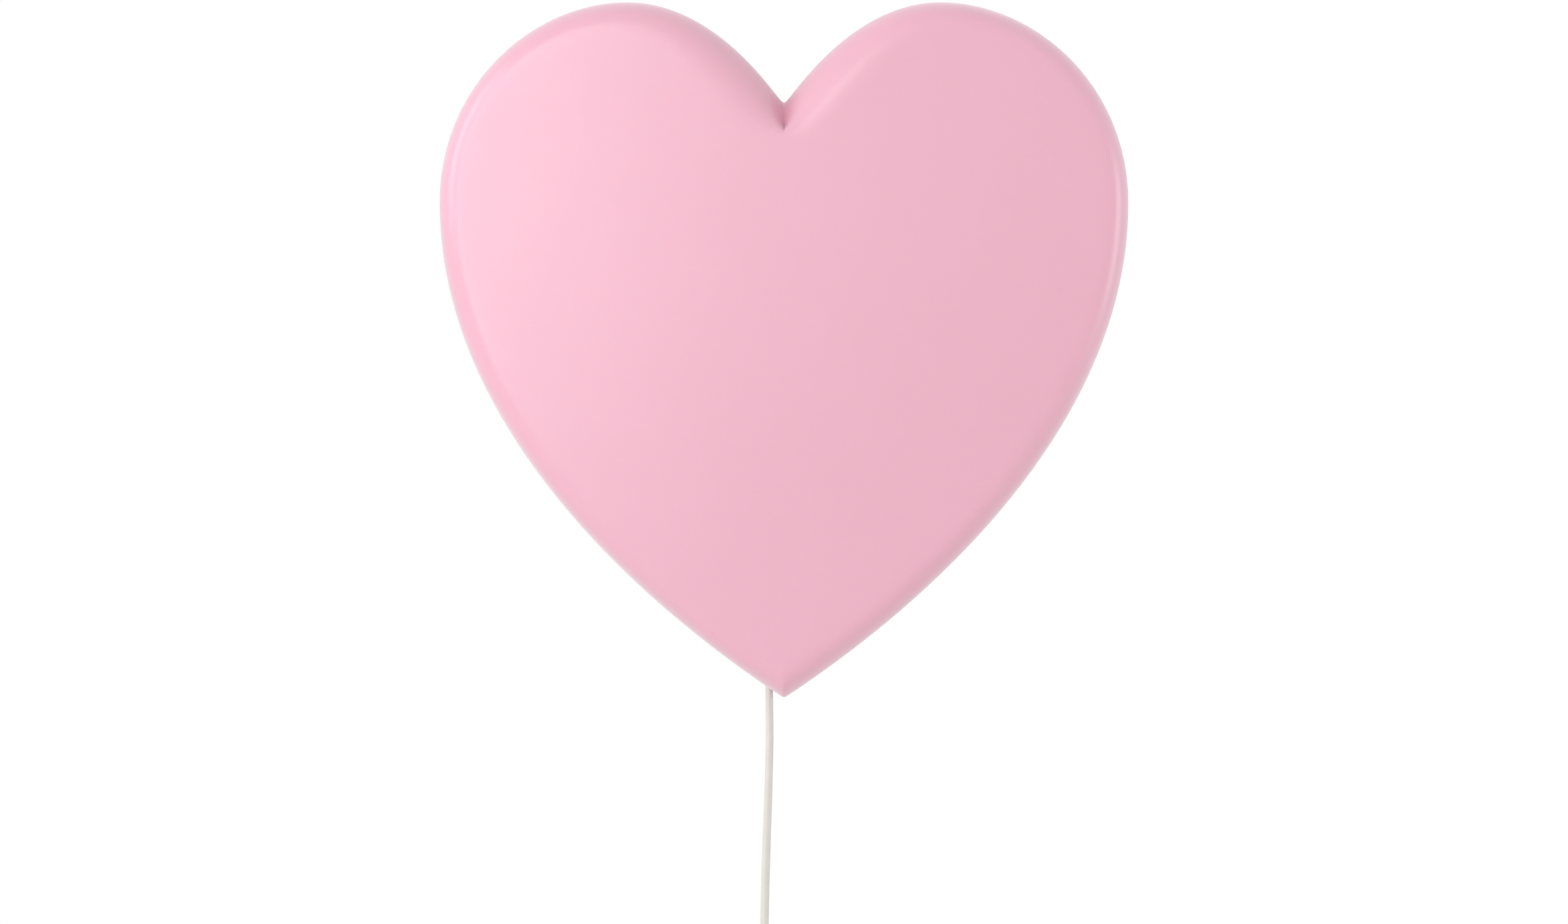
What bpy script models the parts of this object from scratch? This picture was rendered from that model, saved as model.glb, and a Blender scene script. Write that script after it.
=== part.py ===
"""Heart-shaped plug-in wall lamp, in metres.

+X is right and +Z is up as the lamp hangs, and its front faces -Y. The wall is the
plane y = 0, and the origin is the middle of the wall bracket's back face.
"""

import bmesh
import bpy
from math import cos, exp, pi, radians, sin
from mathutils import Matrix, Vector
from mathutils.geometry import interpolate_bezier

# Gap that touching pieces keep
FIT = 0.0003

# Heart outline, from the lobes' tops down and from the centre line out
HEART_WIDTH = 0.290
HEART_HEIGHT = 0.293
TOP_ABOVE_BRACKET = 0.103
LOBE_TOP_X = 0.0657
WIDEST_DROP = 0.0846
CLEFT_DROP = 0.0425
CLEFT_ANGLE = radians(37.5)
TIP_ANGLE = radians(33.5)
CLEFT_PULL = 0.0135
LOBE_INNER_PULL = 0.0340
LOBE_OUTER_PULL = 0.0395
SHOULDER_PULL = 0.0500
FLANK_PULL = 0.0840
TIP_PULL = 0.0920
OUTLINE_POINTS = 46

# Shade
SHADE_DEPTH = 0.072
SHADE_WALL = 0.002
SHADE_DRAFT = 0.001
RIM_GAP = 0.001
FACE_CROWN = 0.008
EDGE_WIDTH = 0.009
EDGE_DEPTH = 0.020
CLEFT_EDGE_WIDTH = 0.017
CLEFT_EDGE_REACH = 0.045
EDGE_STEPS = 5
FACE_RINGS = (0.78, 0.54, 0.28)
LUG_RADIUS = 0.005
LUG_LENGTH = 0.014
LUG_BITE = 0.0012
LUG_FRACTIONS = (0.20, 0.50, 0.78)

# Screws
SCREW_HEAD_RADIUS = 0.0027
SCREW_HEAD_HEIGHT = 0.0018
SCREW_SHANK_RADIUS = 0.0014
SHADE_SCREW_LENGTH = 0.011
COVER_SCREW_LENGTH = 0.010
BOARD_SCREW_LENGTH = 0.005
SMALL_SCREW_LENGTH = 0.009

# Wall bracket with its hooks
BRACKET_WIDTH = 0.084
BRACKET_HEIGHT = 0.034
BRACKET_SHEET = 0.0015
BRACKET_HOLE_RADIUS = 0.0023
BRACKET_HOLE_X = 0.034
HOOK_X = 0.020
HOOK_WIDTH = 0.010
HOOK_Z = 0.004
HOOK_RISE = 0.008
HOOK_PLAY = 0.0006
LIFT = 0.009
SLOT_SIDE_GAP = 0.0015
SLOT_SPARE = 0.0015

# Back plate with the wiring bay and its cover
PLATE_BACK = 0.009
PLATE_THICK = 0.002
PLATE_EDGE_GAP = 0.0005
RIB_INSET = 0.016
RIB_WIDTH = 0.0018
RIB_HEIGHT = 0.0025
BAY_WIDTH = 0.104
BAY_HEIGHT = 0.068
BAY_TOP = -0.016
BAY_FRONT = 0.036
BAY_WALL = 0.002
POST_RADIUS = 0.0036
POST_INSET = 0.0032
COVER_LAP = 0.004
COVER_THICK = 0.002
COVER_CORNER = 0.005
VENT_COUNT = 6
VENT_LENGTH = 0.030
VENT_WIDTH = 0.002
VENT_PITCH = 0.005

# LED board
LED_BOARD_MARGIN = 0.002
LED_BOARD_THICK = 0.0016
LED_COLUMNS = 3
LED_ROWS = 3
LED_PITCH_X = 0.030
LED_PITCH_Z = 0.019
LED_WIDTH = 0.0035
LED_HEIGHT = 0.0028
LED_THICK = 0.0010
LED_PLUG_FROM_SIDE = 0.020
LED_PLUG_SIZE = (0.010, 0.006, 0.007)
LED_PLUG_FROM_TOP = 0.009
LED_WINDOW_GAP = 0.001
LED_WIRE_RADIUS = 0.0007
LED_WIRE_SPREAD = 0.004
LED_WIRE_RISE = 0.007

# Driver
DRIVER_SIDE_GAP = 0.008
CLAMP_ZONE = 0.016
PLUG_ZONE = 0.018
DRIVER_BOARD_THICK = 0.0016
STANDOFF_RADIUS = 0.003
STANDOFF_HEIGHT = 0.004
STANDOFF_INSET = 0.006
TRANSFORMER_CORE = (0.018, 0.014)
TRANSFORMER_BOBBIN = (0.013, 0.020)
TRANSFORMER_GAP = 0.0049
BOBBIN_DROP = 0.003
CAPACITOR_RADIUS = 0.005
CAPACITOR_LIP = 0.0006
CAPACITOR_GAP = 0.0008
HEADROOM = 0.003
CAPACITOR_HEADROOM = 0.005
TERMINAL_BLOCK_SIZE = (0.013, 0.010, 0.010)
TERMINAL_PITCH = 0.005
TERMINAL_HOLE_RADIUS = 0.0012
TERMINAL_HOLE_DEPTH = 0.0065
TERMINAL_SCREW_HOLE_RADIUS = 0.0015
MAINS_WIRE_RADIUS = 0.0007
MAINS_WIRE_SPREAD = 0.0018
MAINS_WIRE_GRIP = 0.003

# Mains lead
CORD_RADIUS = 0.00175
CORD_X = -0.0064
CORD_BAY_Y = -0.0200
EXIT_Y = -0.0045
EXIT_ABOVE_TIP = 0.006
# Shares of the way down from the bay to the bush, and back to the wall
LEAD_IN_SHARES = (
    (0.155, 0.039), (0.320, 0.181), (0.486, 0.406), (0.657, 0.645), (0.812, 0.852), (0.923, 0.974))
# Sideways, towards the wall and down from the exit
DROP_STEPS = (
    (0.0, 0.0, -0.0003), (0.0002, -0.0005, -0.0110), (0.0003, -0.0016, -0.0240), (0.0, -0.0025, -0.0380),
    (-0.0005, -0.0034, -0.0540), (-0.0011, -0.0042, -0.0710), (-0.0016, -0.0049, -0.0880),
    (-0.0019, -0.0054, -0.1030), (-0.0020, -0.0055, -0.1170))
CLAMP_FROM_BAY = 0.007
CLAMP_HEIGHT = 0.008
CLAMP_LENGTH = 0.024
CLAMP_THICK = 0.0040
CLAMP_GAP = 0.0004
CLAMP_SCREW_X = 0.008
CORD_SHOWN = 0.0005
CORD_HOLE_GAP = 0.0006
CORD_SLOT_GAP = 0.0014
BUSH_RADIUS = 0.0032
BUSH_LENGTH = 0.0076
BUSH_BELOW_EXIT = 0.0004
BUSH_LEAD_IN = 0.0033
BUSH_COLLAR = 0.0008
BUSH_COLLAR_HEIGHT = 0.0025
NOTCH_DEPTH_Z = 0.012

# Switch in the lead
SWITCH_LENGTH = 0.052
SWITCH_WIDTH = 0.024
SWITCH_DEPTH = 0.017
SWITCH_WALL = 0.002
SWITCH_ROUND = 0.0035
SWITCH_SQUARENESS = 2.4
SWITCH_GRIP = 0.005
SWITCH_SCREW_X = 0.0042
SWITCH_SCREW_Z = 0.0165
SWITCH_BOSS_RADIUS = 0.0026
SWITCH_SCREW_HEAD = 0.0020
SWITCH_SCREW_SHANK = 0.0010
SWITCH_SCREW_LENGTH = 0.0105
ROCKER_LENGTH = 0.021
ROCKER_WIDTH = 0.011
ROCKER_TILT = radians(8.0)
ROCKER_END_HEIGHT = 0.0052
ROCKER_MID_HEIGHT = 0.0046
ROCKER_END_DEPTH = 0.0030
ROCKER_SIDE_GAP = 0.0004
ROCKER_HUB = 0.0026
ROCKER_NOSE = 0.0012
PIN_DROP = 0.0035
PIN_RADIUS = 0.0010
PIN_PLAY = 0.00025
EAR_THICK = 0.002
EAR_WIDTH = 0.006
LEAF_THICK = 0.0006
LEAF_WIDTH = 0.004
CONTACT_SIZE = (0.005, 0.0043, 0.006)
CONTACT_Z = 0.009

# Coil, tie and plug
COIL_SHIFT_X = 0.015
COIL_DROP = 0.046
COIL_BACK_Y = -0.0075
COIL_MEAN_RADIUS = 0.0212
COIL_TURN_GAP = 0.0009
COIL_LAYERS = 4
TURNS_PER_LAYER = 3.25
LOOP_POINTS = 24
COIL_START = radians(142)
COIL_END_TURN = radians(38)
LEAD_STRAIGHT = 0.0045
TAIL_STRAIGHT = 0.004
TIE_ANGLE = radians(60)
TIE_GAP = 0.0006
TIE_INNER_GAP = 0.0012
TIE_WIDTH = 0.006
TIE_THICK = 0.0010
TIE_CORNER = 0.002
TAIL_LENGTH = 0.024
PLUG_GRIP = 0.007
PLUG_RELIEF = 0.020
PLUG_RELIEF_RADII = (0.0028, 0.0042)
PLUG_LENGTH = 0.046
PLUG_WIDTH = 0.026
PLUG_THICK = 0.0138
# Shares of the body's length, width and thickness, and how square the section is
PLUG_SECTIONS = ((0.12, 0.55, 0.80, 2.4), (0.40, 0.90, 0.97, 2.8), (0.94, 1.0, 1.0, 3.2), (1.0, 0.95, 0.90, 3.2))
PLUG_PIN_RADIUS = 0.0020
PLUG_PIN_SPACING = 0.0186
PLUG_PIN_LENGTH = 0.019
PLUG_PIN_ROOT = 0.006

# Worked out from the sizes above
TOP_Z = TOP_ABOVE_BRACKET
TIP_Z = TOP_Z - HEART_HEIGHT
FACE_CENTRE_Z = TOP_Z - HEART_HEIGHT / 2
PLATE_FRONT = PLATE_BACK + PLATE_THICK
BAY_CENTRE_Z = BAY_TOP - BAY_HEIGHT / 2
BAY_INSIDE_WIDTH = BAY_WIDTH - 2 * BAY_WALL
BAY_INSIDE_HEIGHT = BAY_HEIGHT - 2 * BAY_WALL
BAY_INSIDE_TOP = BAY_TOP - BAY_WALL
BAY_INSIDE_BOTTOM = BAY_TOP - BAY_HEIGHT + BAY_WALL
BAY_FLOOR = BAY_FRONT - BAY_WALL
COVER_INNER = PLATE_BACK - FIT
POST_X = BAY_INSIDE_WIDTH / 2 - POST_INSET
POST_Z = BAY_INSIDE_HEIGHT / 2 - POST_INSET
DRIVER_SCREW_X = BAY_INSIDE_WIDTH / 2 - DRIVER_SIDE_GAP - STANDOFF_INSET
CAPACITOR_X = -DRIVER_SCREW_X + STANDOFF_RADIUS + CAPACITOR_GAP + CAPACITOR_RADIUS
TRANSFORMER_X = CORD_X + (TERMINAL_BLOCK_SIZE[0] + TRANSFORMER_CORE[0]) / 2 + TRANSFORMER_GAP
LED_PLUG_X = BAY_INSIDE_WIDTH / 2 - LED_PLUG_FROM_SIDE
CLAMP_Z = BAY_INSIDE_BOTTOM + CLAMP_FROM_BAY
EXIT_Z = TIP_Z + EXIT_ABOVE_TIP
BUSH_BOTTOM = EXIT_Z - BUSH_BELOW_EXIT
BUSH_TOP = BUSH_BOTTOM + BUSH_LENGTH
LEAD_IN_HIGH = (CORD_BAY_Y, BAY_INSIDE_BOTTOM - BAY_WALL / 2)
LEAD_IN_LOW = (EXIT_Y, BUSH_TOP + BUSH_LEAD_IN)
LEAD_IN_ROUTE = [(CORD_X, CORD_BAY_Y, CLAMP_Z + CLAMP_HEIGHT / 2 + CORD_SHOWN), (CORD_X, *LEAD_IN_HIGH)]
for down, back in LEAD_IN_SHARES:
    LEAD_IN_ROUTE.append((CORD_X, LEAD_IN_HIGH[0] + back * (LEAD_IN_LOW[0] - LEAD_IN_HIGH[0]),
                          LEAD_IN_HIGH[1] + down * (LEAD_IN_LOW[1] - LEAD_IN_HIGH[1])))
LEAD_IN_ROUTE += [(CORD_X, *LEAD_IN_LOW), (CORD_X, EXIT_Y, EXIT_Z)]
DROP_ROUTE = [(CORD_X + dx, EXIT_Y + dy, EXIT_Z + dz) for dx, dy, dz in DROP_STEPS]
SWITCH_X, SWITCH_Y = DROP_ROUTE[-1][:2]
SWITCH_Z = DROP_ROUTE[-1][2] + SWITCH_GRIP - SWITCH_LENGTH / 2
SWITCH_BOTTOM = SWITCH_Z - SWITCH_LENGTH / 2
COIL_X = SWITCH_X + COIL_SHIFT_X
COIL_Z = SWITCH_BOTTOM - COIL_DROP
COIL_PITCH = 2 * CORD_RADIUS + COIL_TURN_GAP
COIL_OUTER = COIL_MEAN_RADIUS + TURNS_PER_LAYER * COIL_PITCH / 2
COIL_INNER = COIL_MEAN_RADIUS - TURNS_PER_LAYER * COIL_PITCH / 2
COIL_FRONT_Y = COIL_BACK_Y - (COIL_LAYERS - 1) * COIL_PITCH
COIL_END_RADIUS = COIL_OUTER + COIL_PITCH * COIL_END_TURN / (2 * pi)
PLUG_TOP = COIL_Z - TAIL_STRAIGHT - TAIL_LENGTH


# Scene set-up and materials

for leftover in list(bpy.data.objects):
    bpy.data.objects.remove(leftover, do_unlink=True)
PARTS = bpy.data.collections.new("heart_wall_lamp")
CUTTERS = bpy.data.collections.new("cutters")
bpy.context.scene.collection.children.link(PARTS)
bpy.context.scene.collection.children.link(CUTTERS)


def material(name, colour, roughness, metallic=0.0):
    made = bpy.data.materials.new(name)
    made.use_nodes = True
    shader = made.node_tree.nodes["Principled BSDF"]
    shader.inputs["Base Color"].default_value = (*colour, 1.0)
    shader.inputs["Roughness"].default_value = roughness
    shader.inputs["Metallic"].default_value = metallic
    return made


PINK = material("pink_shade", (0.87, 0.49, 0.60), 0.45)
WHITE = material("white_plastic", (0.84, 0.83, 0.80), 0.45)
IVORY = material("ivory_plastic", (0.79, 0.77, 0.71), 0.40)
CORD = material("ivory_cord", (0.76, 0.73, 0.66), 0.50)
STEEL = material("zinc_steel", (0.62, 0.63, 0.64), 0.38, 1.0)
NICKEL = material("nickel", (0.72, 0.70, 0.66), 0.25, 1.0)
BRASS = material("brass", (0.78, 0.60, 0.28), 0.30, 1.0)
MASK_WHITE = material("white_board", (0.82, 0.82, 0.80), 0.35)
MASK_GREEN = material("green_board", (0.05, 0.22, 0.10), 0.40)
PHOSPHOR = material("led_phosphor", (0.80, 0.66, 0.18), 0.35)
BLACK = material("black_plastic", (0.03, 0.03, 0.03), 0.45)
FERRITE = material("ferrite", (0.10, 0.10, 0.11), 0.60)
BROWN = material("brown_wire", (0.20, 0.09, 0.04), 0.45)
BLUE = material("blue_wire", (0.05, 0.16, 0.48), 0.45)
RED = material("red_wire", (0.55, 0.04, 0.04), 0.45)
RUBBER = material("ivory_rubber", (0.70, 0.67, 0.60), 0.65)


# Small tools

def place(name, mesh, finish):
    """Links a mesh as a part, or as a cutter when it has no finish."""
    made = bpy.data.objects.new(name, mesh)
    if finish is None:
        CUTTERS.objects.link(made)
        made.hide_render = True
        made.display_type = "WIRE"
    else:
        PARTS.objects.link(made)
        mesh.materials.append(finish)
    return made


def finish_mesh(name, work, finish=None, smooth=False):
    bmesh.ops.recalc_face_normals(work, faces=work.faces)
    mesh = bpy.data.meshes.new(name)
    work.to_mesh(mesh)
    work.free()
    if smooth:
        mesh.shade_smooth()
        mesh.set_sharp_from_angle(angle=radians(35))
    return place(name, mesh, finish)


def add_box(work, low, high):
    size = Vector(high) - Vector(low)
    middle = (Vector(high) + Vector(low)) / 2
    bmesh.ops.create_cube(work, size=1.0, matrix=Matrix.Translation(middle) @ Matrix.Diagonal((*size, 1.0)))


def add_rod(work, start, end, radius, sides=16):
    start, end = Vector(start), Vector(end)
    turn = Vector((0, 0, 1)).rotation_difference(end - start).to_matrix().to_4x4()
    bmesh.ops.create_cone(
        work, cap_ends=True, segments=sides, radius1=radius, radius2=radius,
        depth=(end - start).length, matrix=Matrix.Translation((start + end) / 2) @ turn)


def box(name, low, high, finish=None):
    work = bmesh.new()
    add_box(work, low, high)
    return finish_mesh(name, work, finish)


def rod(name, start, end, radius, finish=None, sides=16):
    work = bmesh.new()
    add_rod(work, start, end, radius, sides)
    return finish_mesh(name, work, finish, smooth=True)


def boxes(name, corners):
    work = bmesh.new()
    for low, high in corners:
        add_box(work, low, high)
    return finish_mesh(name, work)


def rods(name, spans, radius, sides=12):
    work = bmesh.new()
    for start, end in spans:
        add_rod(work, start, end, radius, sides)
    return finish_mesh(name, work)


def combine(target, tool, operation):
    step = target.modifiers.new(operation.lower() + "_" + tool.name, "BOOLEAN")
    step.operation = operation
    step.solver = "EXACT"
    step.object = tool


def cut(target, tool):
    combine(target, tool, "DIFFERENCE")


def join(target, tool):
    combine(target, tool, "UNION")


def loft(name, rings, finish=None, smooth=True):
    """A closed solid through rings of equal count, flat at both ends."""
    work = bmesh.new()
    loops = [[work.verts.new(point) for point in ring] for ring in rings]
    for near, far in zip(loops, loops[1:]):
        for i in range(len(near)):
            j = (i + 1) % len(near)
            work.faces.new((near[i], near[j], far[j], far[i]))
    work.faces.new(loops[0])
    work.faces.new(loops[-1])
    return finish_mesh(name, work, finish, smooth)


def flat_solid(name, outlines, y_back, thickness, finish=None):
    """Outlines in (x, z), the later ones holes, made a slab in front of y_back."""
    data = bpy.data.curves.new(name, "CURVE")
    data.dimensions = "2D"
    data.fill_mode = "BOTH"
    data.extrude = thickness / 2
    for outline in outlines:
        spline = data.splines.new("POLY")
        spline.points.add(len(outline) - 1)
        spline.use_cyclic_u = True
        for point, (x, z) in zip(spline.points, outline):
            point.co = (x, z, 0.0, 1.0)
    drawn = bpy.data.objects.new(name, data)
    PARTS.objects.link(drawn)
    drawn.rotation_euler.x = pi / 2
    drawn.location.y = y_back - thickness / 2
    bpy.context.view_layer.update()
    mesh = bpy.data.meshes.new_from_object(drawn.evaluated_get(bpy.context.evaluated_depsgraph_get()))
    mesh.transform(drawn.matrix_world)
    bpy.data.objects.remove(drawn)
    work = bmesh.new()
    work.from_mesh(mesh)
    bpy.data.meshes.remove(mesh)
    bmesh.ops.remove_doubles(work, verts=work.verts, dist=0.000001)
    return finish_mesh(name, work, finish)


def turned(name, profile, finish, steps=10):
    """A profile of (radius, height) from its top down, turned about its own Z."""
    mesh = bpy.data.meshes.new(name)
    points = [(radius, 0.0, height) for radius, height in profile]
    mesh.from_pydata(points, [(i, i + 1) for i in range(len(points) - 1)], [])
    made = place(name, mesh, finish)
    spin = made.modifiers.new("turn", "SCREW")
    spin.steps = steps
    spin.render_steps = steps
    spin.use_merge_vertices = True
    spin.merge_threshold = 0.00001
    return made


def smooth_route(route, step):
    """Points about a step apart on a smooth curve through the route's own points."""
    points = [Vector(point) for point in route]
    ends = [2 * points[0] - points[1]] + points + [2 * points[-1] - points[-2]]
    fine = []
    for a, b, c, d in zip(ends, ends[1:], ends[2:], ends[3:]):
        count = max(1, round((c - b).length / step))
        fine += interpolate_bezier(b, b + (c - a) / 6, c - (d - b) / 6, c, count + 1)[:-1]
    return fine + [points[-1]]


def tube(name, points, radius, finish, resolution=2):
    data = bpy.data.curves.new(name, "CURVE")
    data.dimensions = "3D"
    data.bevel_depth = radius
    data.bevel_resolution = resolution
    data.use_fill_caps = True
    spline = data.splines.new("POLY")
    spline.points.add(len(points) - 1)
    for point, place_at in zip(spline.points, points):
        point.co = (*place_at, 1.0)
    made = bpy.data.objects.new(name, data)
    PARTS.objects.link(made)
    data.materials.append(finish)
    return made


def screw(name, seat, length, out, head=None, shank=None):
    """A pan-head screw whose head sits on seat, with its head towards out (+1 wall, -1 room)."""
    head = SCREW_HEAD_RADIUS if head is None else head
    shank = SCREW_SHANK_RADIUS if shank is None else shank
    profile = (
        (0.0, SCREW_HEAD_HEIGHT), (head * 0.62, SCREW_HEAD_HEIGHT), (head, SCREW_HEAD_HEIGHT * 0.45),
        (head, 0.0), (shank, 0.0), (shank, -length + shank), (0.0, -length))
    made = turned(name, profile, STEEL, steps=8)
    made.location = (seat[0], seat[1] + out * FIT, seat[2])
    made.rotation_euler.x = -out * pi / 2
    return made


# Heart outline

def heart_half():
    """The right half from cleft to tip as (x, z) points, closely spaced."""
    cleft = Vector((0.0, TOP_Z - CLEFT_DROP))
    top = Vector((LOBE_TOP_X, TOP_Z))
    side = Vector((HEART_WIDTH / 2, TOP_Z - WIDEST_DROP))
    tip = Vector((0.0, TIP_Z))
    cleft_rise = CLEFT_PULL * Vector((sin(CLEFT_ANGLE), cos(CLEFT_ANGLE)))
    tip_rise = TIP_PULL * Vector((cos(TIP_ANGLE), sin(TIP_ANGLE)))
    spans = (
        (cleft, cleft + cleft_rise, top - Vector((LOBE_INNER_PULL, 0.0)), top),
        (top, top + Vector((LOBE_OUTER_PULL, 0.0)), side + Vector((0.0, SHOULDER_PULL)), side),
        (side, side - Vector((0.0, FLANK_PULL)), tip + tip_rise, tip))
    half = []
    for span in spans:
        half += [point.copy() for point in interpolate_bezier(*span, 60)[:-1]]
    return half + [tip]


HALF = heart_half()


def inward(i):
    along = HALF[min(i + 1, len(HALF) - 1)] - HALF[max(i - 1, 0)]
    return Vector((along.y, -along.x)).normalized()


def resample(points, count):
    lengths = [0.0]
    for a, b in zip(points, points[1:]):
        lengths.append(lengths[-1] + (b - a).length)
    spread, k = [], 0
    for i in range(count):
        target = lengths[-1] * i / (count - 1)
        while k < len(points) - 2 and lengths[k + 1] < target:
            k += 1
        share = (target - lengths[k]) / (lengths[k + 1] - lengths[k])
        spread.append(points[k].lerp(points[k + 1], share))
    return spread


def heart_ring(inset, count=OUTLINE_POINTS):
    """The closed outline moved in by inset, a length or a function of the point."""
    amount = inset if callable(inset) else (lambda point: inset)
    moved = [point + inward(i) * amount(point) for i, point in enumerate(HALF)]
    while moved[-1].x < 0.0:
        beyond = moved.pop()
        if moved[-1].x >= 0.0:
            share = moved[-1].x / (moved[-1].x - beyond.x)
            moved.append(moved[-1].lerp(beyond, share))
            moved[-1].x = 0.0
            break
    run = moved[1] - moved[0]
    moved.insert(0, moved[0] - run * (moved[0].x / run.x))
    moved = [point for i, point in enumerate(moved) if i == 0 or (point - moved[i - 1]).length > 0.000001]
    half = resample(moved, count)
    half[0].x = half[-1].x = 0.0
    mirrored = [Vector((-point.x, point.y)) for point in reversed(half[1:-1])]
    return half + mirrored


def outline_seat(fraction):
    """A point on the right half's outline and its inward direction."""
    i = min(range(len(HALF)), key=lambda k: abs(arc_length(k) - fraction * arc_length(len(HALF) - 1)))
    return HALF[i], inward(i)


def arc_length(k):
    return sum((b - a).length for a, b in zip(HALF[:k], HALF[1:k + 1]))


def lug_seats():
    seats = []
    for fraction in LUG_FRACTIONS:
        point, direction = outline_seat(fraction)
        centre = point + direction * (SHADE_WALL + LUG_RADIUS - LUG_BITE)
        seats += [(centre.x, centre.y), (-centre.x, centre.y)]
    return seats


LUG_SEATS = lug_seats()


# Shade

def face_y(x, z):
    across = x / (HEART_WIDTH / 2)
    along = (z - FACE_CENTRE_Z) / (HEART_HEIGHT / 2)
    return -SHADE_DEPTH + FACE_CROWN * (across ** 2 + along ** 2)


def edge_width(point):
    away = (point - HALF[0]).length / CLEFT_EDGE_REACH
    return EDGE_WIDTH + (CLEFT_EDGE_WIDTH - EDGE_WIDTH) * exp(-away ** 2)


def shade_rings():
    rings = [[(p.x, -RIM_GAP, p.y) for p in heart_ring(0.0)]]
    for k in range(EDGE_STEPS + 1):
        turn = pi / 2 * k / EDGE_STEPS
        ring = heart_ring(lambda point: SHADE_DRAFT + edge_width(point) * (1 - cos(turn)))
        rings.append([(p.x, face_y(p.x, p.y) + EDGE_DEPTH * (1 - sin(turn)), p.y) for p in ring])
    rim = [(x, z) for x, y, z in rings[-1]]
    for share in FACE_RINGS:
        inner = [(x * share, FACE_CENTRE_Z + (z - FACE_CENTRE_Z) * share) for x, z in rim]
        rings.append([(x, face_y(x, z), z) for x, z in inner])
    return rings


def make_shade():
    work = bmesh.new()
    loops = [[work.verts.new(point) for point in ring] for ring in shade_rings()]
    for near, far in zip(loops, loops[1:]):
        for i in range(len(near)):
            j = (i + 1) % len(near)
            work.faces.new((near[i], near[j], far[j], far[i]))
    work.faces.new(loops[-1])
    shade = finish_mesh("shade", work, PINK, smooth=True)
    shell = shade.modifiers.new("wall", "SOLIDIFY")
    shell.thickness = SHADE_WALL
    shell.offset = -1.0
    shell.use_even_offset = True
    lug_back = PLATE_FRONT + FIT
    lugs = [((x, -lug_back, z), (x, -lug_back - LUG_LENGTH, z)) for x, z in LUG_SEATS]
    join(shade, rods("shade_lugs", lugs, LUG_RADIUS))
    pilot_depth = SHADE_SCREW_LENGTH - COVER_THICK + FIT
    pilots = [((x, -PLATE_BACK, z), (x, -lug_back - pilot_depth, z)) for x, z in LUG_SEATS]
    cut(shade, rods("shade_pilots", pilots, SCREW_SHANK_RADIUS + FIT, 10))
    cut(shade, notch_cutter())
    return shade


def notch_cutter():
    """A round-bottomed slot for the cord bush, open at the rim."""
    reach = BUSH_RADIUS + FIT
    arc = [(CORD_X + reach * cos(a), EXIT_Y + reach * sin(a)) for a in [-pi * k / 10 for k in range(11)]]
    outline = [(CORD_X + reach, BRACKET_SHEET)] + arc + [(CORD_X - reach, BRACKET_SHEET)]
    levels = (BUSH_TOP, BUSH_BOTTOM - NOTCH_DEPTH_Z)
    return loft("cord_notch", [[(px, py, z) for px, py in outline] for z in levels], smooth=False)


# Wall bracket

def make_bracket():
    sheet = box(
        "wall_bracket", (-BRACKET_WIDTH / 2, -BRACKET_SHEET, -BRACKET_HEIGHT / 2),
        (BRACKET_WIDTH / 2, 0.0, BRACKET_HEIGHT / 2), STEEL)
    tab_near = PLATE_FRONT + HOOK_PLAY
    tab_far = tab_near + BRACKET_SHEET
    under = HOOK_Z - BRACKET_SHEET
    for side in (-1, 1):
        middle = side * HOOK_X
        profile = (
            (-BRACKET_SHEET / 2, under), (-BRACKET_SHEET / 2, HOOK_Z), (-tab_near, HOOK_Z),
            (-tab_near, HOOK_Z + HOOK_RISE), (-tab_far, HOOK_Z + HOOK_RISE), (-tab_far, under))
        ends = (middle - HOOK_WIDTH / 2, middle + HOOK_WIDTH / 2)
        hook = loft("hook_%+d" % side, [[(x, y, z) for y, z in profile] for x in ends], smooth=False)
        join(sheet, hook)
    holes = [((side * BRACKET_HOLE_X, -PLATE_BACK, 0.0), (side * BRACKET_HOLE_X, BRACKET_SHEET, 0.0))
             for side in (-1, 1)]
    cut(sheet, rods("bracket_holes", holes, BRACKET_HOLE_RADIUS, 16))
    return sheet


# Back plate with the wiring bay

def stadium(x, low, high, radius, steps=8):
    upper = [(x + radius * cos(pi * k / steps), high - radius + radius * sin(pi * k / steps))
             for k in range(steps + 1)]
    lower = [(x - radius * cos(pi * k / steps), low + radius - radius * sin(pi * k / steps))
             for k in range(steps + 1)]
    return upper + lower


def post_seats():
    return [(sx * POST_X, BAY_CENTRE_Z + sz * POST_Z) for sx in (-1, 1) for sz in (-1, 1)]


def driver_seats():
    return [(-DRIVER_SCREW_X, DRIVER_Z), (DRIVER_SCREW_X, DRIVER_Z)]


def lead_in_height(depth):
    """How high the lead is where it lies so far in front of the wall."""
    fine = smooth_route(LEAD_IN_ROUTE, CORD_RADIUS / 2)
    return min(fine, key=lambda point: abs(point.y + depth)).z


DRIVER_TOP = BAY_INSIDE_TOP - PLUG_ZONE
DRIVER_BOTTOM = BAY_INSIDE_BOTTOM + CLAMP_ZONE
DRIVER_Z = (DRIVER_TOP + DRIVER_BOTTOM) / 2
DRIVER_FRONT = BAY_FLOOR - STANDOFF_HEIGHT - FIT
DRIVER_BACK = DRIVER_FRONT - DRIVER_BOARD_THICK
LED_BOARD_BACK = BAY_FRONT + FIT
LED_BOARD_FACE = LED_BOARD_BACK + LED_BOARD_THICK
LED_PLUG_Z = BAY_INSIDE_TOP - LED_PLUG_FROM_TOP
CLAMP_SEAT = -CORD_BAY_Y + CLAMP_GAP


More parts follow.
